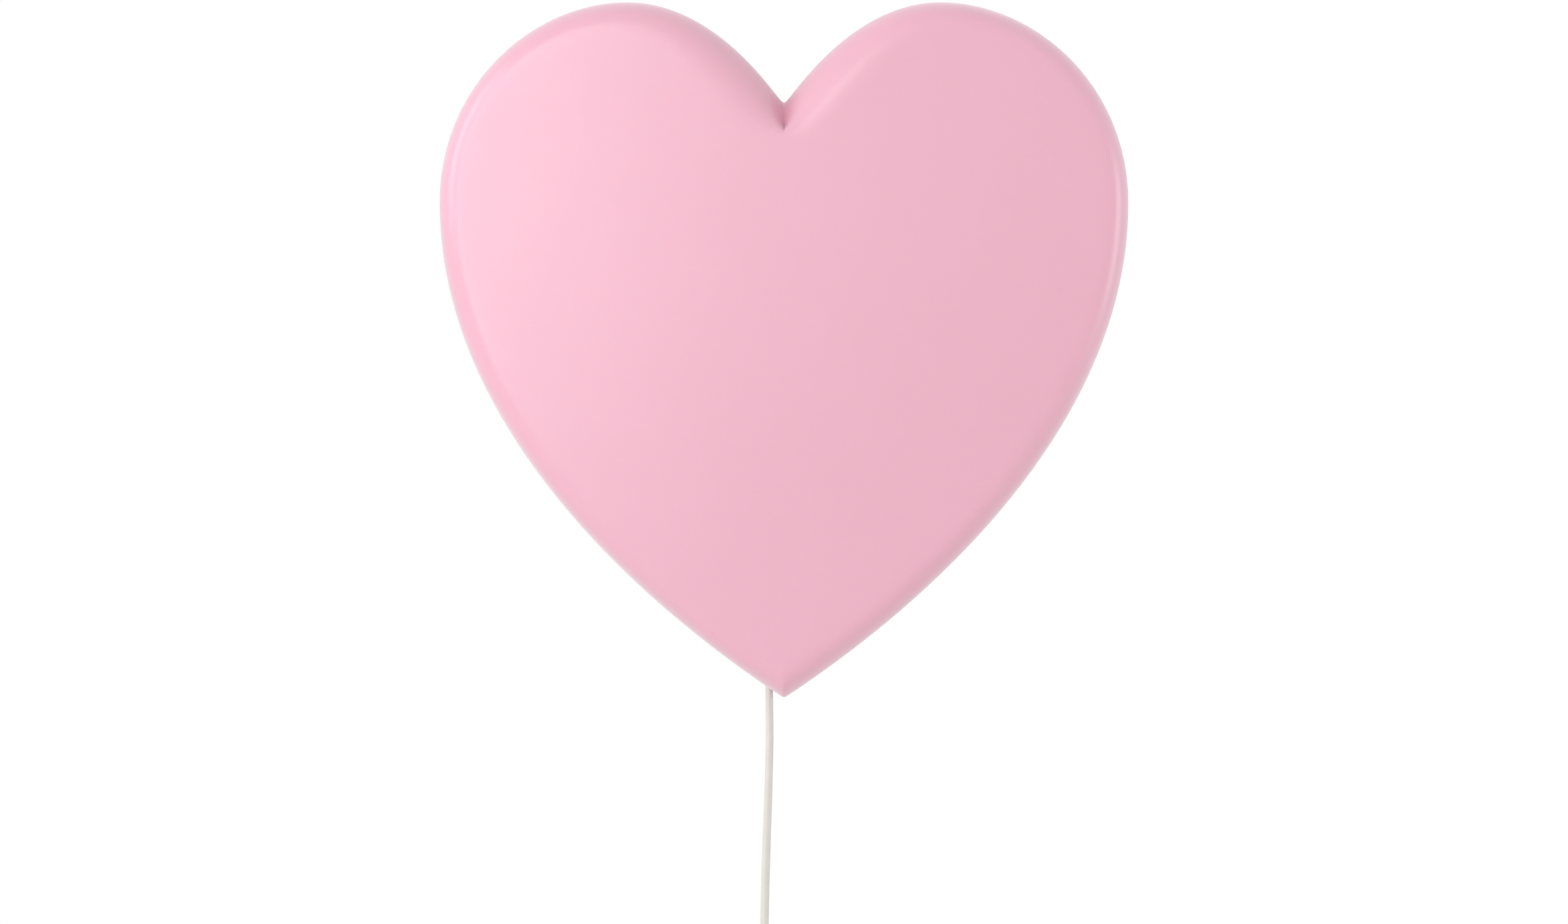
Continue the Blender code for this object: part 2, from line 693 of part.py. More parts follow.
def make_back_plate():
    edge = heart_ring(SHADE_WALL + PLATE_EDGE_GAP)
    plate = flat_solid("back_plate", [[tuple(p) for p in edge]], -PLATE_BACK, PLATE_THICK, WHITE)
    join(plate, box(
        "bay_block", (-BAY_WIDTH / 2, -BAY_FRONT, BAY_TOP - BAY_HEIGHT),
        (BAY_WIDTH / 2, -PLATE_FRONT + PLATE_THICK / 2, BAY_TOP)))
    cut(plate, box(
        "bay_hollow", (-BAY_INSIDE_WIDTH / 2, -BAY_FLOOR, BAY_INSIDE_BOTTOM),
        (BAY_INSIDE_WIDTH / 2, 0.0, BAY_INSIDE_TOP)))
    posts = [((x, -BAY_FLOOR - BAY_WALL / 2, z), (x, -PLATE_BACK - FIT, z)) for x, z in post_seats()]
    join(plate, rods("bay_posts", posts, POST_RADIUS))
    stands = [((x, -BAY_FLOOR - BAY_WALL / 2, z), (x, -BAY_FLOOR + STANDOFF_HEIGHT, z))
              for x, z in driver_seats()]
    join(plate, rods("driver_stands", stands, STANDOFF_RADIUS))
    join(plate, box(
        "clamp_stand", (CORD_X - CLAMP_LENGTH / 2, -BAY_FLOOR - BAY_WALL / 2, CLAMP_Z - CLAMP_HEIGHT / 2),
        (CORD_X + CLAMP_LENGTH / 2, -CLAMP_SEAT, CLAMP_Z + CLAMP_HEIGHT / 2)))
    cut_plate_holes(plate)
    rib = [[tuple(p) for p in heart_ring(inset)] for inset in (RIB_INSET, RIB_INSET + RIB_WIDTH)]
    ring = flat_solid("plate_rib", rib, RIB_HEIGHT - PLATE_BACK, RIB_HEIGHT + PLATE_THICK / 2)
    way = CORD_RADIUS + 2 * CORD_SLOT_GAP
    cut(ring, box("rib_gap", (CORD_X - way, -PLATE_FRONT, TIP_Z), (CORD_X + way, 0.0, CLAMP_Z)))
    join(plate, ring)
    return plate


def cut_plate_holes(plate):
    through = [((x, -PLATE_FRONT - FIT, z), (x, 0.0, z)) for x, z in LUG_SEATS]
    cut(plate, rods("shade_screw_holes", through, SCREW_SHANK_RADIUS + 2 * FIT, 10))
    depth = COVER_SCREW_LENGTH - COVER_THICK + 2 * FIT
    pilots = [((x, -PLATE_BACK - depth, z), (x, 0.0, z)) for x, z in post_seats()]
    pilots += [((x, -BAY_FRONT - FIT, z), (x, -BAY_FRONT + BOARD_SCREW_LENGTH, z)) for x, z in led_screw_seats()]
    pilots += [((x, -BAY_FLOOR - BAY_WALL / 2, z), (x, -BAY_FLOOR + STANDOFF_HEIGHT + FIT, z))
               for x, z in driver_seats()]
    pilots += [((x, -BAY_FLOOR, CLAMP_Z), (x, -CLAMP_SEAT + FIT, CLAMP_Z)) for x in clamp_screws()]
    cut(plate, rods("plate_pilots", pilots, SCREW_SHANK_RADIUS + FIT, 10))
    slot_top = HOOK_Z + FIT
    slot_bottom = slot_top - LIFT - BRACKET_SHEET - SLOT_SPARE
    reach = HOOK_WIDTH / 2 + SLOT_SIDE_GAP
    slots = [((side * HOOK_X - reach, -PLATE_FRONT - FIT, slot_bottom),
              (side * HOOK_X + reach, 0.0, slot_top)) for side in (-1, 1)]
    plug_reach = LED_PLUG_SIZE[0] / 2 + LED_WINDOW_GAP
    plug_rise = LED_PLUG_SIZE[2] / 2 + LED_WINDOW_GAP
    slots.append(((LED_PLUG_X - plug_reach, -BAY_FRONT - FIT, LED_PLUG_Z - plug_rise),
                  (LED_PLUG_X + plug_reach, -BAY_FLOOR + FIT, LED_PLUG_Z + plug_rise)))
    cut(plate, boxes("plate_slots", slots))
    clear = CORD_RADIUS + CORD_SLOT_GAP
    slot = stadium(CORD_X, lead_in_height(PLATE_BACK - clear), lead_in_height(PLATE_FRONT + clear), clear)
    cut(plate, flat_solid("cord_slot", [slot], 0.0, PLATE_FRONT + FIT))
    groove = CORD_RADIUS + FIT
    cut(plate, rod("clamp_groove", (CORD_X, CORD_BAY_Y, CLAMP_Z - CLAMP_HEIGHT),
                   (CORD_X, CORD_BAY_Y, CLAMP_Z + CLAMP_HEIGHT), groove))
    cut(plate, rod("cord_hole", (CORD_X, CORD_BAY_Y, BAY_INSIDE_BOTTOM - 2 * BAY_WALL),
                   (CORD_X, CORD_BAY_Y, BAY_INSIDE_BOTTOM + BAY_WALL / 2), CORD_RADIUS + CORD_HOLE_GAP))


def led_screw_seats():
    seats = post_seats()
    return [seats[0], seats[-1]]


def clamp_screws():
    return (CORD_X - CLAMP_SCREW_X, CORD_X + CLAMP_SCREW_X)


def make_cover():
    reach = BAY_INSIDE_WIDTH / 2 + COVER_LAP
    rise = BAY_INSIDE_HEIGHT / 2 + COVER_LAP
    corners = ((1, 1, 0), (-1, 1, 1), (-1, -1, 2), (1, -1, 3))
    outline = []
    for sx, sz, quarter in corners:
        for k in range(5):
            turn = pi / 2 * (quarter + k / 4)
            outline.append((sx * (reach - COVER_CORNER) + COVER_CORNER * cos(turn),
                            BAY_CENTRE_Z + sz * (rise - COVER_CORNER) + COVER_CORNER * sin(turn)))
    cover = flat_solid("bay_cover", [outline], -COVER_INNER + COVER_THICK, COVER_THICK, WHITE)
    holes = [((x, -COVER_INNER - FIT, z), (x, 0.0, z)) for x, z in post_seats()]
    cut(cover, rods("cover_holes", holes, SCREW_SHANK_RADIUS + 2 * FIT, 10))
    first = BAY_CENTRE_Z - VENT_PITCH * (VENT_COUNT - 1) / 2
    vents = []
    for k in range(VENT_COUNT):
        z = first + k * VENT_PITCH
        vents.append(((-VENT_LENGTH / 2, -COVER_INNER - FIT, z - VENT_WIDTH / 2),
                      (VENT_LENGTH / 2, 0.0, z + VENT_WIDTH / 2)))
    cut(cover, boxes("cover_vents", vents))
    return cover


def make_body_screws():
    for k, (x, z) in enumerate(LUG_SEATS):
        screw("shade_screw_%d" % (k + 1), (x, -PLATE_BACK, z), SHADE_SCREW_LENGTH, 1)
    for k, (x, z) in enumerate(post_seats()):
        screw("cover_screw_%d" % (k + 1), (x, -COVER_INNER + COVER_THICK, z), COVER_SCREW_LENGTH, 1)
    for k, (x, z) in enumerate(led_screw_seats()):
        screw("led_screw_%d" % (k + 1), (x, -LED_BOARD_FACE, z), BOARD_SCREW_LENGTH, -1)
    for k, (x, z) in enumerate(driver_seats()):
        screw("driver_screw_%d" % (k + 1), (x, -DRIVER_BACK, z), BOARD_SCREW_LENGTH, 1)


# LED board

def make_led_board():
    reach = BAY_WIDTH / 2 - LED_BOARD_MARGIN
    rise = BAY_HEIGHT / 2 - LED_BOARD_MARGIN
    board = box("led_board", (-reach, -LED_BOARD_FACE, BAY_CENTRE_Z - rise),
                (reach, -LED_BOARD_BACK, BAY_CENTRE_Z + rise), MASK_WHITE)
    holes = [((x, -LED_BOARD_FACE - FIT, z), (x, -LED_BOARD_BACK + FIT, z)) for x, z in led_screw_seats()]
    cut(board, rods("led_board_holes", holes, SCREW_SHANK_RADIUS + FIT, 10))
    seat = -LED_BOARD_FACE - FIT
    for row in range(LED_ROWS):
        for column in range(LED_COLUMNS):
            x = (column - (LED_COLUMNS - 1) / 2) * LED_PITCH_X
            z = BAY_CENTRE_Z + (row - (LED_ROWS - 1) / 2) * LED_PITCH_Z
            name = "led_%d" % (row * LED_COLUMNS + column + 1)
            box(name, (x - LED_WIDTH / 2, seat - LED_THICK, z - LED_HEIGHT / 2),
                (x + LED_WIDTH / 2, seat, z + LED_HEIGHT / 2), PHOSPHOR)
    width, depth, height = LED_PLUG_SIZE
    box("led_plug", (LED_PLUG_X - width / 2, -LED_BOARD_BACK + FIT, LED_PLUG_Z - height / 2),
        (LED_PLUG_X + width / 2, -LED_BOARD_BACK + FIT + depth, LED_PLUG_Z + height / 2), WHITE)


def make_led_wires():
    start_y = -DRIVER_BACK + FIT
    end_y = -LED_BOARD_BACK + 2 * FIT + LED_PLUG_SIZE[1]
    start_z = DRIVER_TOP - LED_WIRE_SPREAD
    top_y = max(start_y, end_y) + LED_WIRE_RISE
    for name, side, finish in (("led_wire_positive", -1, RED), ("led_wire_negative", 1, BLACK)):
        x = LED_PLUG_X + side * LED_WIRE_SPREAD / 2
        low = (x, (start_y + top_y) / 2, start_z)
        high = (x, (end_y + top_y) / 2, LED_PLUG_Z)
        crest = (x, top_y, (start_z + LED_PLUG_Z) / 2)
        route = ((x, start_y, start_z), low, crest, high, (x, end_y, LED_PLUG_Z))
        tube(name, smooth_route(route, 3 * LED_WIRE_RADIUS), LED_WIRE_RADIUS, finish)


# Driver

def make_driver():
    reach = BAY_INSIDE_WIDTH / 2 - DRIVER_SIDE_GAP
    board = box("driver_board", (-reach, -DRIVER_FRONT, DRIVER_BOTTOM),
                (reach, -DRIVER_BACK, DRIVER_TOP), MASK_GREEN)
    holes = [((x, -DRIVER_FRONT - FIT, z), (x, -DRIVER_BACK + FIT, z)) for x, z in driver_seats()]
    cut(board, rods("driver_holes", holes, SCREW_SHANK_RADIUS + FIT, 10))
    seat = -DRIVER_BACK + FIT
    top = -COVER_INNER - HEADROOM
    width, height = TRANSFORMER_CORE
    core = box("driver_transformer", (TRANSFORMER_X - width / 2, seat, DRIVER_Z - height / 2),
               (TRANSFORMER_X + width / 2, top, DRIVER_Z + height / 2), FERRITE)
    width, height = TRANSFORMER_BOBBIN
    join(core, box("bobbin", (TRANSFORMER_X - width / 2, seat + FIT, DRIVER_Z - height / 2),
                   (TRANSFORMER_X + width / 2, top - BOBBIN_DROP, DRIVER_Z + height / 2)))
    can_top = -COVER_INNER - CAPACITOR_HEADROOM - seat
    can = turned("driver_capacitor", (
        (0.0, can_top), (CAPACITOR_RADIUS - CAPACITOR_LIP, can_top), (CAPACITOR_RADIUS, can_top - CAPACITOR_LIP),
        (CAPACITOR_RADIUS, 0.0), (0.0, 0.0)), BLACK, steps=16)
    can.location = (CAPACITOR_X, seat, DRIVER_Z)
    can.rotation_euler.x = -pi / 2
    make_terminal_block(seat)


def make_terminal_block(seat):
    width, depth, height = TERMINAL_BLOCK_SIZE
    low_z = DRIVER_BOTTOM + FIT
    block = box("terminal_block", (CORD_X - width / 2, seat, low_z),
                (CORD_X + width / 2, seat + depth, low_z + height), WHITE)
    entry_y = seat + depth / 2
    entries, tops = [], []
    for side in (-1, 1):
        x = CORD_X + side * TERMINAL_PITCH / 2
        entries.append(((x, entry_y, low_z - FIT), (x, entry_y, low_z + TERMINAL_HOLE_DEPTH)))
        tops.append(((x, entry_y + TERMINAL_HOLE_RADIUS * 0.7, low_z + height / 2),
                     (x, seat + depth + FIT, low_z + height / 2)))
    cut(block, rods("terminal_entries", entries, TERMINAL_HOLE_RADIUS, 10))
    cut(block, rods("terminal_tops", tops, TERMINAL_SCREW_HOLE_RADIUS, 10))
    start = Vector(LEAD_IN_ROUTE[0]) + Vector((0.0, 0.0, FIT))
    for name, side, finish in (("live_wire", -1, BROWN), ("neutral_wire", 1, BLUE)):
        near = start + Vector((side * MAINS_WIRE_SPREAD / 2, 0.0, 0.0))
        end = Vector((CORD_X + side * TERMINAL_PITCH / 2, entry_y, low_z + MAINS_WIRE_GRIP))
        rise = Vector((0.0, 0.0, 2 * MAINS_WIRE_RADIUS))
        route = (near, near + rise, end - 2 * rise, end)
        tube(name, smooth_route(route, 3 * MAINS_WIRE_RADIUS), MAINS_WIRE_RADIUS, finish)


# Lead inside the lamp

def make_lead_in():
    tube("cord_lead_in", smooth_route(LEAD_IN_ROUTE, 5 * CORD_RADIUS), CORD_RADIUS, CORD)
    inner = -CORD_BAY_Y - CLAMP_GAP
    clamp = box("cord_clamp", (CORD_X - CLAMP_LENGTH / 2, -inner, CLAMP_Z - CLAMP_HEIGHT / 2),
                (CORD_X + CLAMP_LENGTH / 2, -inner + CLAMP_THICK, CLAMP_Z + CLAMP_HEIGHT / 2), WHITE)
    cut(clamp, rod("clamp_upper_groove", (CORD_X, CORD_BAY_Y, CLAMP_Z - CLAMP_HEIGHT),
                   (CORD_X, CORD_BAY_Y, CLAMP_Z + CLAMP_HEIGHT), CORD_RADIUS + FIT))
    holes = [((x, -inner - FIT, CLAMP_Z), (x, 0.0, CLAMP_Z)) for x in clamp_screws()]
    cut(clamp, rods("clamp_holes", holes, SCREW_SHANK_RADIUS + FIT, 10))
    for k, x in enumerate(clamp_screws()):
        screw("clamp_screw_%d" % (k + 1), (x, -inner + CLAMP_THICK, CLAMP_Z), SMALL_SCREW_LENGTH, 1)
    bore = CORD_RADIUS + FIT
    collar = BUSH_RADIUS + BUSH_COLLAR
    head = BUSH_LENGTH + BUSH_COLLAR_HEIGHT
    bush = turned("cord_bush", (
        (bore, head), (collar, head), (collar, BUSH_LENGTH + FIT), (BUSH_RADIUS, BUSH_LENGTH + FIT),
        (BUSH_RADIUS, 0.0), (bore, 0.0), (bore, head)), RUBBER, steps=16)
    bush.location = (CORD_X, EXIT_Y, BUSH_BOTTOM)


# Switch in the lead

def switch_ring(inset, depth, points=28):
    half_width = SWITCH_WIDTH / 2 - inset
    half_length = SWITCH_LENGTH / 2 - inset
    power = 2 / SWITCH_SQUARENESS
    ring = []
    for k in range(points):
        turn = 2 * pi * k / points
        c, s = cos(turn), sin(turn)
        ring.append((SWITCH_X + half_width * abs(c) ** power * (1 if c > 0 else -1), SWITCH_Y + depth,
                     SWITCH_Z + half_length * abs(s) ** power * (1 if s > 0 else -1)))
    return ring


def switch_half(name, side, finish):
    """Half of the switch's case: side +1 lies to the wall, -1 to the room."""
    half = SWITCH_DEPTH / 2
    rings = [switch_ring(0.0, side * FIT / 2)]
    for k in range(4):
        turn = pi / 2 * k / 3
        inset = SWITCH_ROUND * (1 - cos(turn))
        rings.append(switch_ring(inset, side * (half - SWITCH_ROUND * (1 - sin(turn)))))
    shell = loft(name, rings, finish)
    inside = [switch_ring(SWITCH_WALL, -side * FIT), switch_ring(SWITCH_WALL, side * (half - SWITCH_ROUND)),
              switch_ring(SWITCH_ROUND, side * (half - SWITCH_WALL))]
    cut(shell, loft(name + "_hollow", inside, smooth=False))
    bosses = [((x, SWITCH_Y + side * FIT / 2, z), (x, SWITCH_Y + side * (half - SWITCH_WALL / 2), z))
              for x, z in switch_screw_seats()]
    join(shell, rods(name + "_bosses", bosses, SWITCH_BOSS_RADIUS))
    return shell


def switch_screw_seats():
    return [(SWITCH_X + side * SWITCH_SCREW_X, SWITCH_Z + side * SWITCH_SCREW_Z) for side in (-1, 1)]


def cord_way(shell):
    """Cuts the holes where the lead goes in and out."""
    ways = []
    for side in (-1, 1):
        ways.append(((SWITCH_X, SWITCH_Y, SWITCH_Z + side * (SWITCH_LENGTH / 2 - SWITCH_GRIP - FIT)),
                     (SWITCH_X, SWITCH_Y, SWITCH_Z + side * SWITCH_LENGTH)))
    cut(shell, rods(shell.name + "_ways", ways, CORD_RADIUS + FIT))


ROCKER_Y = SWITCH_Y - SWITCH_DEPTH / 2 + PIN_DROP
SWITCH_FLOOR = SWITCH_Y + SWITCH_DEPTH / 2 - SWITCH_WALL
LEAF_Y = SWITCH_FLOOR - CONTACT_SIZE[1] - 2 * FIT
EAR_INNER = ROCKER_WIDTH / 2 + ROCKER_SIDE_GAP


def make_switch_base():
    base = switch_half("switch_base", 1, IVORY)
    cord_way(base)
    back = SWITCH_Y + SWITCH_DEPTH / 2
    sink = SCREW_HEAD_HEIGHT + FIT
    heads = [((x, back - sink, z), (x, back + sink, z)) for x, z in switch_screw_seats()]
    cut(base, rods("switch_screw_sinks", heads, SWITCH_SCREW_HEAD + FIT))
    shanks = [((x, SWITCH_Y - FIT, z), (x, back, z)) for x, z in switch_screw_seats()]
    cut(base, rods("switch_screw_holes", shanks, SWITCH_SCREW_SHANK + FIT, 10))
    for k, (x, z) in enumerate(switch_screw_seats()):
        screw("switch_screw_%d" % (k + 1), (x, back - sink, z), SWITCH_SCREW_LENGTH, 1,
              SWITCH_SCREW_HEAD, SWITCH_SCREW_SHANK)


def make_switch_cover():
    cover = switch_half("switch_cover", -1, IVORY)
    cord_way(cover)
    tip = SWITCH_Y + SWITCH_DEPTH / 2 - SCREW_HEAD_HEIGHT - SWITCH_SCREW_LENGTH - FIT
    shanks = [((x, SWITCH_Y + FIT, z), (x, tip, z)) for x, z in switch_screw_seats()]
    cut(cover, rods("switch_pilots", shanks, SWITCH_SCREW_SHANK + FIT, 10))
    front = SWITCH_Y - SWITCH_DEPTH / 2
    ears = []
    for side in (-1, 1):
        near, far = sorted((side * EAR_INNER, side * (EAR_INNER + EAR_THICK)))
        ears.append(((SWITCH_X + near, front + SWITCH_WALL / 2, SWITCH_Z - EAR_WIDTH / 2),
                     (SWITCH_X + far, ROCKER_Y + EAR_WIDTH / 2, SWITCH_Z + EAR_WIDTH / 2)))
    join(cover, boxes("switch_ears", ears))
    swing = ROCKER_LENGTH / 2 * cos(ROCKER_TILT) + ROCKER_END_HEIGHT * sin(ROCKER_TILT) + ROCKER_SIDE_GAP
    cut(cover, box("rocker_window", (SWITCH_X - EAR_INNER, front - FIT, SWITCH_Z - swing),
                   (SWITCH_X + EAR_INNER, front + 1.5 * SWITCH_WALL, SWITCH_Z + swing)))
    reach = EAR_INNER + EAR_THICK
    cut(cover, rod("pin_bore", (SWITCH_X - reach - FIT, ROCKER_Y, SWITCH_Z),
                   (SWITCH_X + reach + FIT, ROCKER_Y, SWITCH_Z), PIN_RADIUS + PIN_PLAY, sides=12))
    rod("rocker_pin", (SWITCH_X - reach, ROCKER_Y, SWITCH_Z), (SWITCH_X + reach, ROCKER_Y, SWITCH_Z),
        PIN_RADIUS, STEEL, sides=12)


def make_rocker():
    """The rocker about its pin, resting tipped to off."""
    half = ROCKER_LENGTH / 2
    under = ROCKER_END_HEIGHT - ROCKER_END_DEPTH
    nose = LEAF_Y - LEAF_THICK - ROCKER_Y - FIT
    right = ((half, ROCKER_END_HEIGHT), (half, under), (ROCKER_HUB * 1.5, 0.0), (ROCKER_HUB, -ROCKER_HUB),
             (ROCKER_NOSE, -nose + ROCKER_NOSE), (ROCKER_NOSE / 2, -nose))
    profile = [(0.0, ROCKER_MID_HEIGHT)] + list(right) + [(-z, h) for z, h in reversed(right)]
    ends = (-ROCKER_WIDTH / 2, ROCKER_WIDTH / 2)
    rocker = loft("switch_rocker", [[(x, -h, z) for z, h in profile] for x in ends], IVORY, smooth=False)
    rocker.location = (SWITCH_X, ROCKER_Y, SWITCH_Z)
    rocker.rotation_euler.x = -ROCKER_TILT
    bore = rod("rocker_bore", (SWITCH_X - ROCKER_WIDTH, ROCKER_Y, SWITCH_Z),
               (SWITCH_X + ROCKER_WIDTH, ROCKER_Y, SWITCH_Z), PIN_RADIUS + PIN_PLAY, sides=12)
    cut(rocker, bore)


def make_contacts():
    width, depth, height = CONTACT_SIZE
    for k, side in enumerate((-1, 1)):
        middle = SWITCH_Z + side * CONTACT_Z
        box("switch_contact_%d" % (k + 1), (SWITCH_X - width / 2, SWITCH_FLOOR - FIT - depth, middle - height / 2),
            (SWITCH_X + width / 2, SWITCH_FLOOR - FIT, middle + height / 2), BRASS)
    reach = CONTACT_Z + height / 2
    box("contact_leaf", (SWITCH_X - LEAF_WIDTH / 2, LEAF_Y - LEAF_THICK, SWITCH_Z - reach),
        (SWITCH_X + LEAF_WIDTH / 2, LEAF_Y, SWITCH_Z + reach), BRASS)


# Coil of the lead put away

def coil_points():
    """In and out in layers, climbing a layer in the half turn where the spiral reverses."""
    turns = COIL_LAYERS * TURNS_PER_LAYER
    full = 2 * pi * turns + COIL_END_TURN
    count = round(full / (2 * pi) * LOOP_POINTS)
    heading = Vector((-sin(COIL_START), 0.0, cos(COIL_START)))
    points = []
    for k in range(count + 1):
        angle = full * k / count
        spiral = angle / (2 * pi)
        layer = min(int(spiral / TURNS_PER_LAYER), COIL_LAYERS - 1)
        share = spiral / TURNS_PER_LAYER - layer
        inwards = share if layer % 2 == 0 else 1 - share
        radius = COIL_OUTER - (COIL_OUTER - COIL_INNER) * inwards
        y = COIL_BACK_Y - COIL_PITCH * climbed(spiral)
        turn = COIL_START + angle
        points.append(Vector((COIL_X + radius * cos(turn), y, COIL_Z + radius * sin(turn))))
    lead = [points[0] - heading * LEAD_STRAIGHT, points[0] - heading * LEAD_STRAIGHT / 2]
    tail = [points[-1] - Vector((0.0, 0.0, TAIL_STRAIGHT))]
    return lead + points + tail


def climbed(spiral):
    """Layers climbed after so many turns."""
    layers = 0.0
    for k in range(1, COIL_LAYERS):
        share = min(max((spiral - k * TURNS_PER_LAYER) * 2 + 0.5, 0.0), 1.0)
        layers += share * share * (3 - 2 * share)
    return layers


def least_gap(points, diameter, apart):
    """Least clear distance between stretches that are more than apart points from each other."""
    nearest = min((a - b).length for i, a in enumerate(points) for b in points[i + apart:])
    return nearest - diameter


def make_coil():
    points = coil_points()
    tube("cord_coil", points, CORD_RADIUS, CORD, resolution=1)
    gap = least_gap(points, 2 * CORD_RADIUS, LOOP_POINTS // 2)
    print("cord_coil: least gap to itself %.2f mm" % (gap * 1000))
    heading = Vector((-sin(COIL_START), 0.0, cos(COIL_START)))
    start = Vector((SWITCH_X, SWITCH_Y, SWITCH_BOTTOM + SWITCH_GRIP))
    out = Vector((SWITCH_X, SWITCH_Y, SWITCH_BOTTOM - SWITCH_GRIP))
    end = points[0] - heading * FIT
    pull = (out.z - end.z) / 3
    bend = interpolate_bezier(out, out - Vector((0.0, 0.0, pull)), end - heading * pull, end, 6)
    tube("cord_to_coil", smooth_route([start] + list(bend), 5 * CORD_RADIUS), CORD_RADIUS, CORD)
    top = points[-1] - Vector((0.0, 0.0, FIT))
    foot = Vector((top.x, top.y, PLUG_TOP - PLUG_GRIP))
    tube("cord_to_plug", smooth_route((top, (top + foot) / 2, foot), 5 * CORD_RADIUS), CORD_RADIUS, CORD)


def make_tie():
    """A flat band round the coil's turns, in the plane across them."""
    inner = COIL_INNER - CORD_RADIUS - TIE_INNER_GAP
    outer = COIL_OUTER + CORD_RADIUS + TIE_GAP
    half_depth = (COIL_BACK_Y - COIL_FRONT_Y) / 2 + CORD_RADIUS + TIE_GAP
    middle = (COIL_BACK_Y + COIL_FRONT_Y) / 2
    loops = []
    for grown in (TIE_THICK, 0.0):
        loops.append(rounded_loop(
            (inner + outer) / 2, (outer - inner) / 2 + grown, half_depth + grown, TIE_CORNER + grown))
    band = flat_solid("cord_tie", loops, TIE_WIDTH / 2, TIE_WIDTH, IVORY)
    across = Vector((cos(TIE_ANGLE), 0.0, sin(TIE_ANGLE)))
    along = Vector((-sin(TIE_ANGLE), 0.0, cos(TIE_ANGLE)))
    depth = Vector((0.0, 1.0, 0.0))
    turn = Matrix((across, along, depth)).transposed().to_4x4()
    band.matrix_world = Matrix.Translation((COIL_X, middle, COIL_Z)) @ turn


def rounded_loop(x, half_x, half_z, radius, steps=4):
    loop = []
    for sx, sz, quarter in ((1, 1, 0), (-1, 1, 1), (-1, -1, 2), (1, -1, 3)):
        for k in range(steps + 1):
            turn = pi / 2 * (quarter + k / steps)
            loop.append((x + sx * (half_x - radius) + radius * cos(turn), sz * (half_z - radius) + radius * sin(turn)))
    return loop


# Plug

def make_plug():
    x, y = COIL_X - COIL_END_RADIUS, COIL_FRONT_Y
    near, far = PLUG_RELIEF_RADII
    half_width, half_thick = PLUG_WIDTH / 2, PLUG_THICK / 2
    body = PLUG_LENGTH - PLUG_RELIEF
    sections = [(0.0, near, near, 2.0), (PLUG_RELIEF, far, far, 2.0)]
    for along, wide, thick, squareness in PLUG_SECTIONS:
        sections.append((PLUG_RELIEF + body * along, half_width * wide, half_thick * thick, squareness))
    rings = []
    for along, wide, thick, squareness in sections:
        ring = []
        for k in range(24):
            turn = 2 * pi * k / 24
            c, s = cos(turn), sin(turn)
            ring.append((x + wide * abs(c) ** (2 / squareness) * (1 if c > 0 else -1),
                         y + thick * abs(s) ** (2 / squareness) * (1 if s > 0 else -1), PLUG_TOP - along))
        rings.append(ring)
    plug = loft("plug_body", rings, IVORY)
    cut(plug, rod("plug_cord_way", (x, y, PLUG_TOP + FIT), (x, y, PLUG_TOP - PLUG_GRIP - FIT), CORD_RADIUS + FIT))
    face = PLUG_TOP - PLUG_LENGTH
    sockets = []
    for k, side in enumerate((-1, 1)):
        pin_x = x + side * PLUG_PIN_SPACING / 2
        sockets.append(((pin_x, y, face - FIT), (pin_x, y, face + PLUG_PIN_ROOT + FIT)))
        tip = PLUG_PIN_RADIUS * 0.5
        pin = turned("plug_pin_%d" % (k + 1), (
            (0.0, PLUG_PIN_ROOT), (PLUG_PIN_RADIUS, PLUG_PIN_ROOT), (PLUG_PIN_RADIUS, tip - PLUG_PIN_LENGTH),
            (PLUG_PIN_RADIUS * 0.7, tip * 0.3 - PLUG_PIN_LENGTH), (0.0, -PLUG_PIN_LENGTH)), NICKEL, steps=12)
        pin.location = (pin_x, y, face)
    cut(plug, rods("plug_sockets", sockets, PLUG_PIN_RADIUS + FIT))


make_bracket()
make_shade()
make_back_plate()
make_cover()
make_body_screws()
make_led_board()
make_led_wires()
make_driver()
make_lead_in()
tube("cord_drop", smooth_route(DROP_ROUTE, 5 * CORD_RADIUS), CORD_RADIUS, CORD)
make_switch_base()
make_switch_cover()
make_rocker()
make_contacts()
make_coil()
make_tie()
make_plug()
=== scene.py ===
"""Looks of the heart-shaped plug-in wall lamp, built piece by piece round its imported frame.

Metres, +Z up, the lamp's front faces -Y and the wall is y = 0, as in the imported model.
"""

from math import cos, exp, pi, radians, sin, sqrt

import bmesh
import bpy
from bpy.props import FloatProperty, FloatVectorProperty, IntProperty, PointerProperty
from mathutils import Matrix, Vector
from mathutils.geometry import interpolate_bezier


